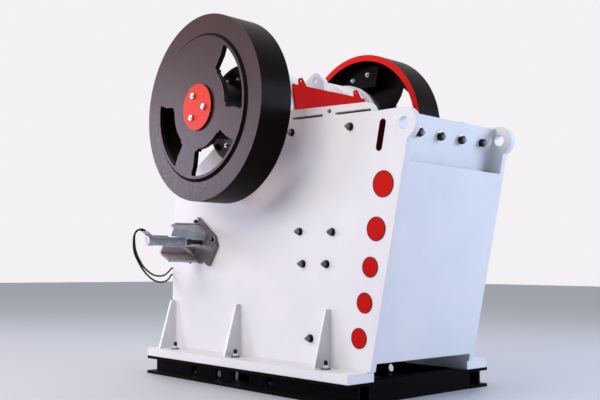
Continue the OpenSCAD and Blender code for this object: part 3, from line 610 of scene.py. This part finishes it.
class Shape:
    """A mesh under construction, from revolved and swept parts."""

    def __init__(self) -> None:
        """Starts an empty mesh."""
        self.mesh = bmesh.new()

    def ring(self, points: Iterable[Vector]) -> list[bmesh.types.BMVert]:
        """Adds the vertices of one ring, at places in metres."""
        return [self.mesh.verts.new(point) for point in points]

    def lathe(self, profile: Profile, sides: int, place: Matrix, turn: float = 0.0) -> None:
        """Revolves a profile round the local Z axis.

        Args:
            profile: Radius and height in mm, from bottom to top. A radius of 0 closes an end.
            sides: Number of sides of the revolved shape.
            place: Where the shape goes, in metres.
            turn: Angle of the first side in degrees.
        """
        rings = []
        for radius, height in profile:
            count = sides if radius else 1
            corners = [polar(radius * MM, math.radians(turn) + math.tau * k / sides) for k in range(count)]
            rings.append(self.ring(place @ Vector((*corner, height * MM)) for corner in corners))
        for low, high in zip(rings, rings[1:]):
            for k in range(sides):
                corners = [low[k % len(low)], low[(k + 1) % len(low)],
                           high[(k + 1) % len(high)], high[k % len(high)]]
                kept = list(dict.fromkeys(corners))
                if len(kept) > 2:
                    self.mesh.faces.new(kept)

    def loft(self, rings: Sequence[Sequence[bmesh.types.BMVert]]) -> None:
        """Joins rings of equally many vertices into a closed tube.

        Args:
            rings: The rings from one end to the other.
        """
        count = len(rings[0])
        for low, high in zip(rings, rings[1:]):
            for k in range(count):
                after = (k + 1) % count
                self.mesh.faces.new([low[k], low[after], high[after], high[k]])
        self.mesh.faces.new(list(reversed(rings[0])))
        self.mesh.faces.new(rings[-1])

    def sweep(self, outline: Profile, path: Sequence[Vector], across: Vector) -> None:
        """Carries a closed outline along a path.

        Args:
            outline: Points across and up from the path, in mm.
            path: Points in metres.
            across: Direction of the outline's first axis.
        """
        rings = []
        for i, point in enumerate(path):
            ahead = (path[min(i + 1, len(path) - 1)] - path[max(i - 1, 0)]).normalized()
            side = (across - across.dot(ahead) * ahead).normalized()
            up = ahead.cross(side)
            rings.append(self.ring(point + MM * (a * side + b * up) for a, b in outline))
        self.loft(rings)

    def piece(self, name: str, finish: Finish, body: Body = Body.FRAME,
              sharp: float = 35.0) -> bpy.types.Object:
        """Turns the mesh into a piece that rides on a body.

        Args:
            name: Name of the piece.
            finish: What it is made of.
            body: What it moves with.
            sharp: Edges with a larger angle than this stay sharp, in degrees.

        Returns:
            The new object.
        """
        bmesh.ops.recalc_face_normals(self.mesh, faces=self.mesh.faces)
        data = bpy.data.meshes.new(name)
        self.mesh.to_mesh(data)
        self.mesh.free()
        data.shade_smooth()
        data.set_sharp_from_angle(angle=math.radians(sharp))
        data.materials.append(finish.material)
        made = add_object(name, data)
        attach(made, body.value)
        LOG.info("%s: %d faces", name, len(data.polygons))
        return made


@dataclass(frozen=True)
class Bolt:
    """A stud with its nut and washer, or a cap screw.

    Attributes:
        nut: Width of the nut over its corners, and its height.
        washer: Diameter and thickness of the washer, both 0 where there is none.
        stud: Diameter of the stud, and how far it stands over the nut.
        looks: Finishes of the washer, the nut and the stud's end.
        tip: Radius of the stud's tip as a share of its own.
    """

    nut: Pair
    washer: Pair
    stud: Pair
    looks: tuple[Finish, Finish, Finish]
    tip: float = 0.55

    # Bevel of the washer's rim, as a share of its thickness
    BEVEL = 0.3
    # Radius of the nut's lower and upper end and the height of their bevels, as shares of its own
    NUT_FOOT, NUT_TOP = (0.93, 0.09), (0.88, 0.13)
    # Pitch and depth of the thread, and the share of the end that has it
    PITCH, THREAD, THREADED = 4.0, 1.4, 0.75
    # With a tip below this the end is a plain cone, over a straight foot of this share
    CONE, CONE_FOOT = 0.5, 0.15
    # How deep the stud starts in the nut
    SUNK = 2.0
    WASHER_SIDES, NUT_SIDES, CONE_SIDES, THREAD_SIDES = 28, 6, 24, 20

    def fit(self, name: str, seats: Iterable[tuple[Point, Point]], body: Body = Body.FRAME) -> None:
        """Makes bolts of this kind, joined into one piece for each of their parts.

        Args:
            name: Name that the pieces start with, which also seeds how the nuts are turned.
            seats: Spot in mm and outward direction of each bolt.
            body: What they move with.
        """
        washers, nuts, ends = Shape(), Shape(), Shape()
        draw = random.Random(name)
        for seat in seats:
            place = facing(*seat)
            if any(self.washer):
                washers.lathe(self.washer_profile(), self.WASHER_SIDES, place)
            turn = draw.uniform(0, 360 / self.NUT_SIDES)
            nuts.lathe(self.nut_profile(), self.NUT_SIDES, place, turn)
            sides = self.CONE_SIDES if self.tip < self.CONE else self.THREAD_SIDES
            ends.lathe(self.end_profile(), sides, place)
        if any(self.washer):
            washers.piece(name + "_washers", self.looks[0], body)
        nuts.piece(name + "_nuts", self.looks[1], body, sharp=20.0)
        ends.piece(name + "_ends", self.looks[2], body, sharp=50.0)

    @property
    def top(self) -> float:
        """Height of the nut's top over the seat."""
        return self.washer[1] + self.nut[1]

    def washer_profile(self) -> Profile:
        """Radius and height along the washer."""
        r, top, bevel = self.washer[0] / 2, self.washer[1], self.BEVEL
        return [(0, 0), (r, 0), (r, top * (1 - bevel)), (r - top * bevel, top), (0, top)]

    def nut_profile(self) -> Profile:
        """Radius and height along the nut."""
        r, base, (foot, foot_h), (head, head_h) = (
            self.nut[0] / 2, self.washer[1], self.NUT_FOOT, self.NUT_TOP)
        return [(0, base), (r * foot, base), (r, base + r * foot_h), (r, self.top - r * head_h),
                (r * head, self.top), (0, self.top)]

    def end_profile(self) -> Profile:
        """Radius and height along the stud's end.

        Returns:
            The profile from inside the nut up, threaded or with a plain cone.
        """
        r, length = self.stud[0] / 2, self.stud[1]
        profile = [(0, self.top - self.SUNK), (r, self.top - self.SUNK)]
        if self.tip < self.CONE:
            profile.append((r, self.top + length * self.CONE_FOOT))
        else:
            turns = max(1, int(length * self.THREADED / self.PITCH))
            for k in range(turns):
                low = self.top + k * self.PITCH
                profile += [(r, low), (r - self.THREAD, low + self.PITCH / 2)]
            profile.append((r, self.top + turns * self.PITCH))
        return [*profile, (r * self.tip, self.top + length), (0, self.top + length)]


class WeldRun:
    """Fillet welds of one piece: rippled beads along the joints."""

    # Half the distance of two ripples, which are 4 mm apart and drawn at 18 mm so that they show
    STEP = 9.0
    # Leg between ripples, what a ripple adds and how far both stray, as shares of the run's leg
    WAIST, RIPPLE, STRAY = 0.86, 0.14, 0.06
    # How far the bead's face stands out and a ripple leans ahead, as shares of the leg
    BULGE, LEAN = 0.78, 0.25
    # How deep the root lies behind each face
    ROOT = 0.5

    def __init__(self, leg: float, seed: str) -> None:
        """Starts without beads.

        Args:
            leg: Leg length of the fillet in mm.
            seed: Seed of the beads' unevenness.
        """
        self.shape = Shape()
        self.leg = leg
        self.draw = random.Random(seed)

    def bead(self, start: Point, end: Point, wall_a: Point, wall_b: Point) -> None:
        """Lays one straight bead in the corner of two faces.

        Args:
            start: First end of the joint in mm.
            end: Second end of the joint in mm.
            wall_a: Direction out of the corner along the first face.
            wall_b: Direction out of the corner along the second face.
        """
        a, b = Vector(start), Vector(end)
        first, second = Vector(wall_a), Vector(wall_b)
        count = max(2, int((b - a).length / self.STEP))
        lean = (b - a).normalized() * (self.leg * self.LEAN)
        rings = []
        for i in range(count + 1):
            spot = a.lerp(b, i / count)
            stray = self.draw.uniform(-self.STRAY, self.STRAY)
            leg = self.leg * (self.WAIST + self.RIPPLE * (i % 2) + stray)
            bulge = (first + second).normalized() * leg * self.BULGE
            corners = (-(first + second) * self.ROOT, first * leg, bulge + lean * (i % 2), second * leg)
            rings.append(self.shape.ring((spot + corner) * MM for corner in corners))
        self.shape.loft(rings)

    def finish(self, name: str) -> None:
        """Makes the piece, painted over like the plates."""
        self.shape.piece(name, Finish.WHITE, sharp=60.0)


@dataclass
class FrontLean:
    """The leaning front's own axes: distance behind the face and height above the floor."""

    front_x: float = 1620.0
    skid_h: float = 178.0
    lean: float = math.radians(11.9)

    def at(self, depth: float, y: float, z: float) -> Point:
        """Point at a height, a distance square to the face behind it."""
        rise = (z - self.skid_h) * math.tan(self.lean)
        return (self.front_x + rise - depth / math.cos(self.lean), y, z)

    def outward(self) -> Point:
        """Direction out of the front face."""
        return (math.cos(self.lean), 0.0, -math.sin(self.lean))


@dataclass
class SidePlate:
    """One side plate with its studs, flange bolts, pin rims, dark strips of painted shade in its slits, and
    welds.
    """

    side: Side
    lean: FrontLean
    outer_y: float = 698.0
    flange_z: float = 258.0
    flange_back: float = -1266.0
    flange_front: float = 1620.0
    gusset_x: tuple[float, ...] = (-1145.0, -55.0, 1161.0)
    gusset_h: float = 490.0
    gusset_t: float = 30.0
    gusset_foot_y: float = 882.0
    stud_spots: tuple[Pair, ...] = (
        (1407, 2293), (672, 2328), (788, 1420), (1197, 1406), (832, 1133), (1129, 1132), (935, 486))
    stud: Bolt = Bolt(nut=(64, 26), washer=(70, 6), stud=(50, 36), tip=0.3,
                      looks=(Finish.BLACKENED, Finish.BLACKENED, Finish.STUD))
    anchor_x: tuple[float, ...] = (-950.0, 35.0, 1242.0)
    anchor_y: float = 816.0
    anchor: Bolt = Bolt(nut=(60, 28), washer=(84, 7), stud=(36, 38),
                        looks=(Finish.BLACKENED, Finish.PLATED, Finish.BLACKENED))
    screw_spot: Pair = (1158.0, 2460.0)
    screw: Bolt = Bolt(nut=(30, 12), washer=(36, 3), stud=(16, 6),
                       looks=(Finish.BLACKENED, Finish.STUD, Finish.STUD))
    # Height and radius of the pin covers
    pins: tuple[Pair, ...] = ((524, 85), (815, 85), (1108, 85), (1418, 100), (1781, 110))
    pin_depth: float = 178.0
    pin_y: float = 704.0
    # Profile of the dark rim from the cover's radius inward, and of the dot in its centre, painted shade of
    # a small hole
    rim: Profile = ((-9, 0), (-8, 1.2), (-1.5, 1.2), (0, 0), (-3, -1), (-9, 0))
    centre: Profile = ((0, -1), (7, -1), (7, 0.8), (4, 1.4), (0, 0.6))
    rim_sides: int = 48
    centre_sides: int = 16
    slits: tuple[Pair, ...] = ((690.0, 1062.0), (1239.0, 1634.0))
    slit_z: float = 2453.0
    slit_fall: float = 0.047
    slit_y: float = 645.0
    # The dark strip in each slit is painted shade: radius of its ends, its thickness and the steps round an
    # end
    strip_r: float = 10.6
    strip_t: float = 6.0
    strip_steps: int = 8
    bead_leg: float = 11.0
    # How far beads stay off a crossing bead, the flange's back end, a gusset's foot and its ends
    bead_gap: float = 12.0
    back_gap: float = 80.0
    foot_gap: float = 2.0
    end_gap: float = 6.0

    def build(self) -> None:
        """Makes the studs, flange bolts, pin rims, strips and weld beads."""
        side, y = self.side, self.side.y(self.outer_y)
        self.stud.fit(f"side_stud_{side.tag}", [((x, y, z), side.out) for x, z in self.stud_spots])
        self.anchor.fit(f"flange_bolt_{side.tag}",
                        [((x, side.y(self.anchor_y), self.flange_z), UP) for x in self.anchor_x])
        x, z = self.screw_spot
        self.screw.fit(f"side_screw_{side.tag}", [((x, y, z), side.out)])
        self.rims()
        self.strips()
        self.weld()

    def rims(self) -> None:
        """Makes the dark rim of every pin cover and the dot of painted shade in its centre."""
        shape = Shape()
        for z, r in self.pins:
            spot = self.lean.at(self.pin_depth, self.side.y(self.pin_y), z)
            place = facing(spot, self.side.out)
            shape.lathe([(r + a, h) for a, h in self.rim], self.rim_sides, place)
            shape.lathe(self.centre, self.centre_sides, place)
        shape.piece(f"pin_rims_{self.side.tag}", Finish.EDGE_RED)

    def strips(self) -> None:
        """Makes dark strips in the long slits under the rail, painted shade of the hollow behind them."""
        shape = Shape()
        for slit in self.slits:
            low, high = (self.slit_z - (x - self.slits[0][0]) * self.slit_fall for x in slit)
            start, end = slit
            tilt = math.atan2(high - low, end - start)
            outline = []
            for x, z, turn in ((end, high, -90.0), (start, low, 90.0)):
                for k in range(self.strip_steps + 1):
                    angle = tilt + math.radians(turn + 180 / self.strip_steps * k)
                    across, up = polar(self.strip_r, angle)
                    # The sweep's second axis is ahead x across, which is -Z here
                    outline.append((x + across, -(z + up)))
            path = [Vector((0, self.side.y(self.slit_y) + step, 0)) * MM
                    for step in (-self.strip_t / 2, self.strip_t / 2)]
            shape.sweep(outline, path, Vector((1, 0, 0)))
        shape.piece(f"slit_strips_{self.side.tag}", Finish.RUBBER)

    def weld(self) -> None:
        """Lays the beads between plate, flange and gussets."""
        side, low, half = self.side, self.flange_z, self.gusset_t / 2
        y, near = side.y(self.outer_y), side.y(self.outer_y + self.bead_gap)
        reach = side.y(self.gusset_foot_y - self.end_gap)
        top = low + self.gusset_h - self.end_gap
        stops = [self.flange_back + self.back_gap]
        for x in self.gusset_x:
            stops += [x - half - self.bead_gap, x + half + self.bead_gap]
        stops.append(self.flange_front - self.bead_gap)
        run = WeldRun(self.bead_leg, side.tag)
        for start, end in zip(stops[::2], stops[1::2]):
            run.bead((start, y, low), (end, y, low), UP, side.out)
        for x in self.gusset_x:
            for sign in (-1, 1):
                face, away = x + sign * half, (sign, 0, 0)
                run.bead((face, y, low + self.foot_gap), (face, y, top), away, side.out)
                run.bead((face, near, low), (face, reach, low), UP, away)
        run.finish(f"side_welds_{side.tag}")


@dataclass
class FrontPlates:
    """The leaning front with the wedge bolts on its upper plate."""

    lean: FrontLean
    upper_d: float = 130.0
    half_w: float = 638.0
    shelf_z: float = 1953.0
    top_z: float = 2390.0
    bolt_spots: tuple[Pair, ...] = ((-423, 2220), (-140, 2217), (151, 2220), (455, 2226))
    bolt: Bolt = Bolt(nut=(78, 30), washer=(98, 9), stud=(44, 20), tip=0.75,
                      looks=(Finish.PLATED, Finish.BLACKENED, Finish.STUD))
    bead_leg: float = 12.0
    # How far the beads stay off the corners and off the plate's top edge
    side_gap: float = 14.0
    foot_gap: float = 4.0
    top_gap: float = 16.0

    def build(self) -> None:
        """Makes the four wedge bolts and the beads round the upper plate."""
        out = self.lean.outward()
        self.bolt.fit("wedge_bolt", [(self.lean.at(self.upper_d, y, z), out) for y, z in self.bolt_spots])
        run = WeldRun(self.bead_leg, "front")
        foot = self.shelf_z + self.upper_d * math.sin(self.lean.lean)
        edge = self.half_w - self.side_gap
        run.bead(self.lean.at(self.upper_d, -edge, foot), self.lean.at(self.upper_d, edge, foot),
                 (-out[2], 0.0, out[0]), out)
        for side in Side:
            y = side.y(self.half_w)
            run.bead(self.lean.at(self.upper_d, y, foot + self.foot_gap),
                     self.lean.at(self.upper_d, y, self.top_z - self.top_gap), out, side.inward)
        run.finish("front_welds")


@dataclass
class RearBeam:
    """Weld beads of the ribbed beam between the rear ends of the side plates."""

    back_x: float = -1150.0
    half_w: float = 638.0
    foot_z: float = 960.0
    top_z: float = 1780.0
    depth: float = 150.0
    bead_leg: float = 13.0
    # How far the beads stay off the foot, the top edge and the back edge
    foot_gap: float = 8.0
    top_gap: float = 2.0
    back_gap: float = 4.0

    def build(self) -> None:
        """Lays the upright beads beside the beam and the level ones on top of it."""
        run = WeldRun(self.bead_leg, "rear")
        for side in Side:
            x, y, top = self.back_x, side.y(self.half_w), self.top_z
            run.bead((x, y, self.foot_z + self.foot_gap), (x, y, top - self.top_gap),
                     (-1, 0, 0), side.inward)
            run.bead((x + self.back_gap, y, top), (x + self.depth, y, top), UP, side.inward)
        run.finish("rear_welds")


@dataclass
class WedgeBrackets:
    """Bolts of the folded brackets, placed in the leaning axes of the wedge cylinder."""

    axis_x: float = -649.8
    axis_z: float = 1348.85
    lean: float = math.radians(34.0)
    plate_y: float = 738.0
    # Along and above the cylinder's plane, the last with its distance out
    plate_spots: tuple[Pair, ...] = ((-178, 138), (160, 141))
    under_spot: Point = (40.0, -190.0, 800.0)
    bolt: Bolt = Bolt(nut=(48, 20), washer=(58, 5), stud=(26, 16),
                      looks=(Finish.PLATED, Finish.BLACKENED, Finish.STUD))

    def build(self) -> None:
        """Makes the bolts of both brackets."""
        for side in Side:
            seats = [(self.spot(u, w, side.y(self.plate_y)), side.out) for u, w in self.plate_spots]
            u, w, y = self.under_spot
            under = (-math.sin(self.lean), 0, -math.cos(self.lean))
            seats.append((self.spot(u, w, side.y(y)), under))
            self.bolt.fit(f"bracket_bolt_{side.tag}", seats)

    def spot(self, u: float, w: float, y: float) -> Point:
        """Point in the leaning axes."""
        c, s = math.cos(self.lean), math.sin(self.lean)
        return (self.axis_x + u * c + w * s, y, self.axis_z - u * s + w * c)


@dataclass
class BearingHousings:
    """Bolt circles on the main bearing housings."""

    count: int = 12
    flange_y: float = 793.0
    flange_circle: float = 412.0
    flange: Bolt = Bolt(nut=(70, 30), washer=(80, 6), stud=(36, 20), looks=(Finish.BLACKENED,) * 3)
    cover_y: float = 861.0
    cover_circle: float = 318.0
    cover: Bolt = Bolt(nut=(40, 16), washer=(46, 4), stud=(20, 8), looks=(Finish.PLATED,) * 3)

    def build(self) -> None:
        """Makes the black flange bolts and the bright cover screws of both sides."""
        angles = [math.tau * (k + 0.5) / self.count for k in range(self.count)]
        for side in Side:
            for name, bolt, y, radius in (
                    ("housing_bolt", self.flange, self.flange_y, self.flange_circle),
                    ("cover_screw", self.cover, self.cover_y, self.cover_circle)):
                bolt.fit(f"{name}_{side.tag}",
                         [(round_shaft(side, y, radius, angle), side.out) for angle in angles])


@dataclass
class Flywheels:
    """Bolts of the hub caps and counterweights."""

    cap_y: float = 1282.0
    cap_circle: float = 118.0
    cap_angles: tuple[float, ...] = (-6.0, 114.0, 234.0)
    cap: Bolt = Bolt(nut=(60, 24), washer=(0, 0), stud=(32, 12), looks=(Finish.PLATED,) * 3)
    weight_y: float = 1049.7
    weight_circle: float = 688.0
    weight_angles: tuple[float, ...] = (89.0, 108.0, 127.0)
    weight: Bolt = Bolt(nut=(44, 18), washer=(50, 4), stud=(24, 14), looks=(Finish.PLATED,) * 3)

    def build(self) -> None:
        """Makes the cap bolts and the inward-facing counterweight bolts of both wheels."""
        for side in Side:
            for name, bolt, y, radius, angles, direction in (
                    ("cap_bolt", self.cap, self.cap_y, self.cap_circle, self.cap_angles, side.out),
                    ("counterweight_bolt", self.weight, self.weight_y, self.weight_circle,
                     self.weight_angles, side.inward)):
                seats = [(round_shaft(side, y, radius, math.radians(a)), direction) for a in angles]
                bolt.fit(f"{name}_{side.tag}", seats, Body.ROTOR)


@dataclass
class Hoses:
    """The two hydraulic hoses of each wedge cylinder, with their crimped ferrules."""

    diameter: float = 18.0
    ring_sides: int = 16
    # Steps of the smooth curve from one point of a route to the next
    steps: int = 5
    # The near pair's routes, with Y counted outward
    upper: tuple[Point, ...] = (
        (-672, 1380.4, 1421.2), (-672, 1400, 1435.9), (-671, 1423, 1448), (-669, 1448, 1451),
        (-665, 1473, 1445), (-660, 1494, 1429), (-655, 1508, 1405), (-650, 1514, 1370),
        (-646, 1514, 1325), (-648, 1504, 1272), (-658, 1478, 1215), (-684, 1428, 1156),
        (-730, 1358, 1100), (-790, 1260, 1050), (-870, 1145, 1016), (-960, 1020, 1004),
        (-1050, 905, 1012), (-1130, 812, 1034), (-1200, 735, 1060), (-1250, 692, 1073),
        (-1278, 662, 1080), (-1291, 626, 1086), (-1286, 594, 1089), (-1269, 567, 1090),
        (-1242, 550, 1090), (-1216, 545, 1090), (-1190.5, 545, 1090))
    lower: tuple[Point, ...] = (
        (-628, 1380.4, 1421.2), (-628, 1400, 1435.9), (-627, 1425, 1450), (-625, 1453, 1455),
        (-621, 1483, 1450), (-616, 1510, 1436), (-611, 1532, 1413), (-606, 1546, 1382),
        (-602, 1552, 1335), (-600, 1550, 1275), (-606, 1527, 1208), (-625, 1474, 1136),
        (-665, 1400, 1068), (-728, 1300, 1008), (-808, 1185, 966), (-895, 1070, 946),
        (-985, 960, 944), (-1075, 858, 954), (-1155, 775, 974), (-1215, 717, 994),
        (-1252, 687, 1005), (-1278, 662, 1011), (-1291, 626, 1016), (-1286, 594, 1019),
        (-1269, 567, 1020), (-1242, 550, 1020), (-1216, 545, 1020), (-1190.5, 545, 1020))
    # Profile of the ferrule from the hose's radius outward, and from its mouth along the hose
    ferrule: Profile = ((0.4, -1), (3.5, -1), (3.5, 9), (2.2, 12), (3.2, 15), (2.2, 18),
                        (3.2, 21), (2.2, 24), (2.8, 30), (0.4, 32))
    ferrule_sides: int = 20
    # Steps along the curve that give the direction of a ferrule
    ferrule_reach: int = 3

    def build(self) -> None:
        """Makes the four hoses."""
        for side in Side:
            for name, route in (("upper", self.upper), ("lower", self.lower)):
                points = [Vector((x, side.y(y), z)) * MM for x, y, z in route]
                self.hose(f"{name}_hose_{side.tag}", points)

    def hose(self, node: str, points: list[Vector]) -> None:
        """Makes one hose as a tube on a smooth curve through its points.

        Args:
            node: The node that it stands for.
            points: Its route, in metres.
        """
        fine = smooth(points, self.steps)
        shape = Shape()
        r = self.diameter / 2
        ring = [polar(r, math.tau * k / self.ring_sides) for k in range(self.ring_sides)]
        shape.sweep(ring, fine, Vector((0, 0, 1)).cross(fine[-1] - fine[0]))
        tube = shape.piece(f"{node}_cover", Finish.RUBBER, sharp=60.0)
        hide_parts(node)
        ends = Shape()
        for row in (fine, fine[::-1]):
            place = facing(tuple(row[0] / MM), tuple(row[self.ferrule_reach] - row[0]))
            ends.lathe([(r + a, h) for a, h in self.ferrule], self.ferrule_sides, place)
        ferrules = ends.piece(f"{node}_ferrules", Finish.PLATED, sharp=40.0)


def smooth(points: list[Vector], steps: int) -> list[Vector]:
    """Points along a Catmull-Rom curve.

    Args:
        points: The points that it passes through.
        steps: Steps from one point to the next.

    Returns:
        The finer row of points.
    """
    ends = [points[0] * 2 - points[1], *points, points[-1] * 2 - points[-2]]
    fine = []
    for a, b, c, d in zip(ends, ends[1:], ends[2:], ends[3:]):
        for k in range(steps):
            t = k / steps
            fine.append(0.5 * (2 * b + (c - a) * t + (2 * a - 5 * b + 4 * c - d) * t * t
                               + (3 * b - a - 3 * c + d) * t ** 3))
    return [*fine, points[-1]]


class Dressing:
    """Gives the frame's nodes their finishes. A star stands for both sides."""

    GROUPS: dict[Finish, tuple[str, ...]] = {
        Finish.PLATE: ("side_plate_*",),
        Finish.WHITE: ("base_flange_*", "gussets_*", "front_frame", "front_upper_plate",
                       "rear_beam", "pitman"),
        Finish.SKID: ("skid_beam_*", "skid_cross_members"),
        Finish.WHEEL: ("flywheel_*", "counterweight_*"),
        Finish.RED: ("pin_covers_*",),
        Finish.GUARD_RED: ("pitman_guard",),
        Finish.CAP_RED: ("hub_cap_*",),
        Finish.WEDGE: ("jaw_wedge",),
        Finish.JAW: ("fixed_jaw_die", "swing_jaw_die", "cheek_plates_*"),
        Finish.HOUSING: ("bearing_housing_*",),
        Finish.ZINC: ("wedge_bracket_*",),
        Finish.CYLINDER: ("wedge_cylinder_*",),
        Finish.MACHINED: ("eccentric_shaft", "wedges"),
        Finish.FORGED: ("toggle_plate", "toggle_seat", "return_rods", "return_springs"),
    }

    def build(self) -> None:
        """Assigns the materials by node name."""
        for finish, names in self.GROUPS.items():
            for name in {name.replace("*", side.tag) for name in names for side in Side}:
                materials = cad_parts[name].data.materials
                materials.clear()
                materials.append(finish.material)


@dataclass
class View:
    """The camera at the photograph's own place and angle."""

    spot: Point = (6.173, -5.701, 1.102)
    azimuth: float = 47.11
    pitch: float = 4.68
    roll: float = 0.391
    focal_px: float = 822.94
    width_px: float = 600.0
    sensor: float = 36.0
    reach: float = 200.0

    def build(self) -> None:
        """Makes the camera and sets it as the scene's."""
        a, p, r = (math.radians(v) for v in (self.azimuth, self.pitch, self.roll))
        ahead = Vector((-math.sin(a) * math.cos(p), math.cos(a) * math.cos(p), math.sin(p)))
        level = Vector((math.cos(a), math.sin(a), 0))
        top = level.cross(ahead)
        right = math.cos(r) * level + math.sin(r) * top
        up = math.cos(r) * top - math.sin(r) * level
        data = bpy.data.cameras.new("photo_view")
        data.sensor_fit = "HORIZONTAL"
        data.sensor_width = self.sensor
        data.lens = self.focal_px * self.sensor / self.width_px
        data.clip_end = self.reach
        camera = add_object("photo_view", data)
        axes = Matrix((right, up, -ahead)).transposed().to_4x4()
        camera.matrix_world = Matrix.Translation(self.spot) @ axes
        bpy.context.scene.camera = camera


@dataclass(frozen=True)
class Lamp:
    """A square area lamp, its side in metres and its power in watts."""

    name: str
    spot: Point
    target: Point
    size: float
    power: float
    colour: str

    def build(self) -> None:
        """Hangs the lamp."""
        data = bpy.data.lights.new(self.name, "AREA")
        data.size = self.size
        data.energy = self.power
        data.color = linear(self.colour)[:3]
        lamp = add_object(self.name, data)
        lamp.location = self.spot
        aim = Vector(self.target) - Vector(self.spot)
        lamp.rotation_euler = aim.to_track_quat("-Z", "Y").to_euler()


@dataclass
class Studio:
    """Pale floor, pale surroundings and soft lamps."""

    floor_size: float = 90.0
    floor_colour: str = "#cdced6"
    floor_roughness: float = 0.45
    floor_ior: float = 1.45
    floor_gloss: float = 0.2
    sky_colour: str = "#f4f1f4"
    # Light from all round, dimmer and bluer toward one side, over this span of the cosine to it
    fill: float = 0.5
    fill_colour: str = "#eef4f8"
    dim_colour: str = "#6d94ab"
    dim_side: Point = (0.8, -0.6, 0.0)
    dim_span: Pair = (-0.3, 0.7)
    lamps: tuple[Lamp, ...] = (
        Lamp("window_light", (-1.4, -9.4, 6.7), (0.4, 0.0, 1.5), 7.0, 770.0, "#fff1e6"),
        Lamp("low_window", (-11.3, -8.8, 3.7), (0.0, 0.0, 2.2), 3.6, 560.0, "#e0e0fc"),
        Lamp("front_light", (8.5, 6.5, 4.5), (1.2, 0.0, 1.4), 5.0, 800.0, "#d9e6ff"),
        Lamp("top_light", (0.0, 0.0, 9.0), (0.0, 0.0, 0.0), 6.0, 230.0, "#ffffff"))

    def build(self) -> None:
        """Makes the floor, the world and the lamps."""
        self.floor()
        self.world()
        for lamp in self.lamps:
            lamp.build()

    def floor(self) -> None:
        """Makes the polished pale floor."""
        half = self.floor_size / 2
        mesh = bmesh.new()
        mesh.faces.new([mesh.verts.new((x * half, y * half, 0))
                        for x, y in ((-1, -1), (1, -1), (1, 1), (-1, 1))])
        data = bpy.data.meshes.new("floor")
        mesh.to_mesh(data)
        mesh.free()
        s = Surface("pale_floor")
        s.set(Base_Color=linear(self.floor_colour), Roughness=self.floor_roughness,
              IOR=self.floor_ior, Specular_IOR_Level=self.floor_gloss)
        data.materials.append(s.material)
        add_object("floor", data)

    def world(self) -> None:
        """Makes a world that shows pale to the camera and in gloss, and fills the shadows."""
        world = bpy.data.worlds.new("pale_room")
        bpy.context.scene.world = world
        world.use_nodes = True
        tree = world.node_tree
        tree.nodes.clear()
        path = add(tree, "ShaderNodeLightPath").outputs
        seen = path["Is Camera Ray"]
        for ray in ("Is Glossy Ray", "Is Transmission Ray"):
            seen = add(tree, "ShaderNodeMath", {0: seen, 1: path[ray]}, operation="MAXIMUM").outputs[0]
        toward = add(tree, "ShaderNodeTexCoord").outputs["Generated"]
        toward = add(tree, "ShaderNodeVectorMath", {0: toward, 1: self.dim_side},
                     operation="DOT_PRODUCT").outputs["Value"]
        low, high = self.dim_span
        share = add(tree, "ShaderNodeMapRange",
                    {"Value": toward, "From Min": low, "From Max": high}).outputs["Result"]
        tone = add(tree, "ShaderNodeMix",
                   {0: share, 6: linear(self.fill_colour), 7: linear(self.dim_colour)},
                   data_type="RGBA").outputs[2]
        lit = add(tree, "ShaderNodeBackground", {"Color": tone, "Strength": self.fill})
        shown = add(tree, "ShaderNodeBackground", {"Color": linear(self.sky_colour), "Strength": 1.0})
        mixed = add(tree, "ShaderNodeMixShader", {0: seen, 1: lit.outputs[0], 2: shown.outputs[0]})
        add(tree, "ShaderNodeOutputWorld", {"Surface": mixed.outputs[0]})


def main() -> None:
    """Builds the view, the studio and every sub-assembly in order."""
    logging.basicConfig(level=logging.INFO, format="%(name)s: %(message)s")
    scene = bpy.context.scene
    scene.view_settings.view_transform = "Standard"
    lean = FrontLean()
    for part in (View(), Hoses(), Studio(), Dressing(), *(SidePlate(side, lean) for side in Side),
                 FrontPlates(lean), RearBeam(), WedgeBrackets(), BearingHousings(), Flywheels()):
        LOG.info("building %s", type(part).__name__)
        part.build()


if __name__ == "__main__":
    main()
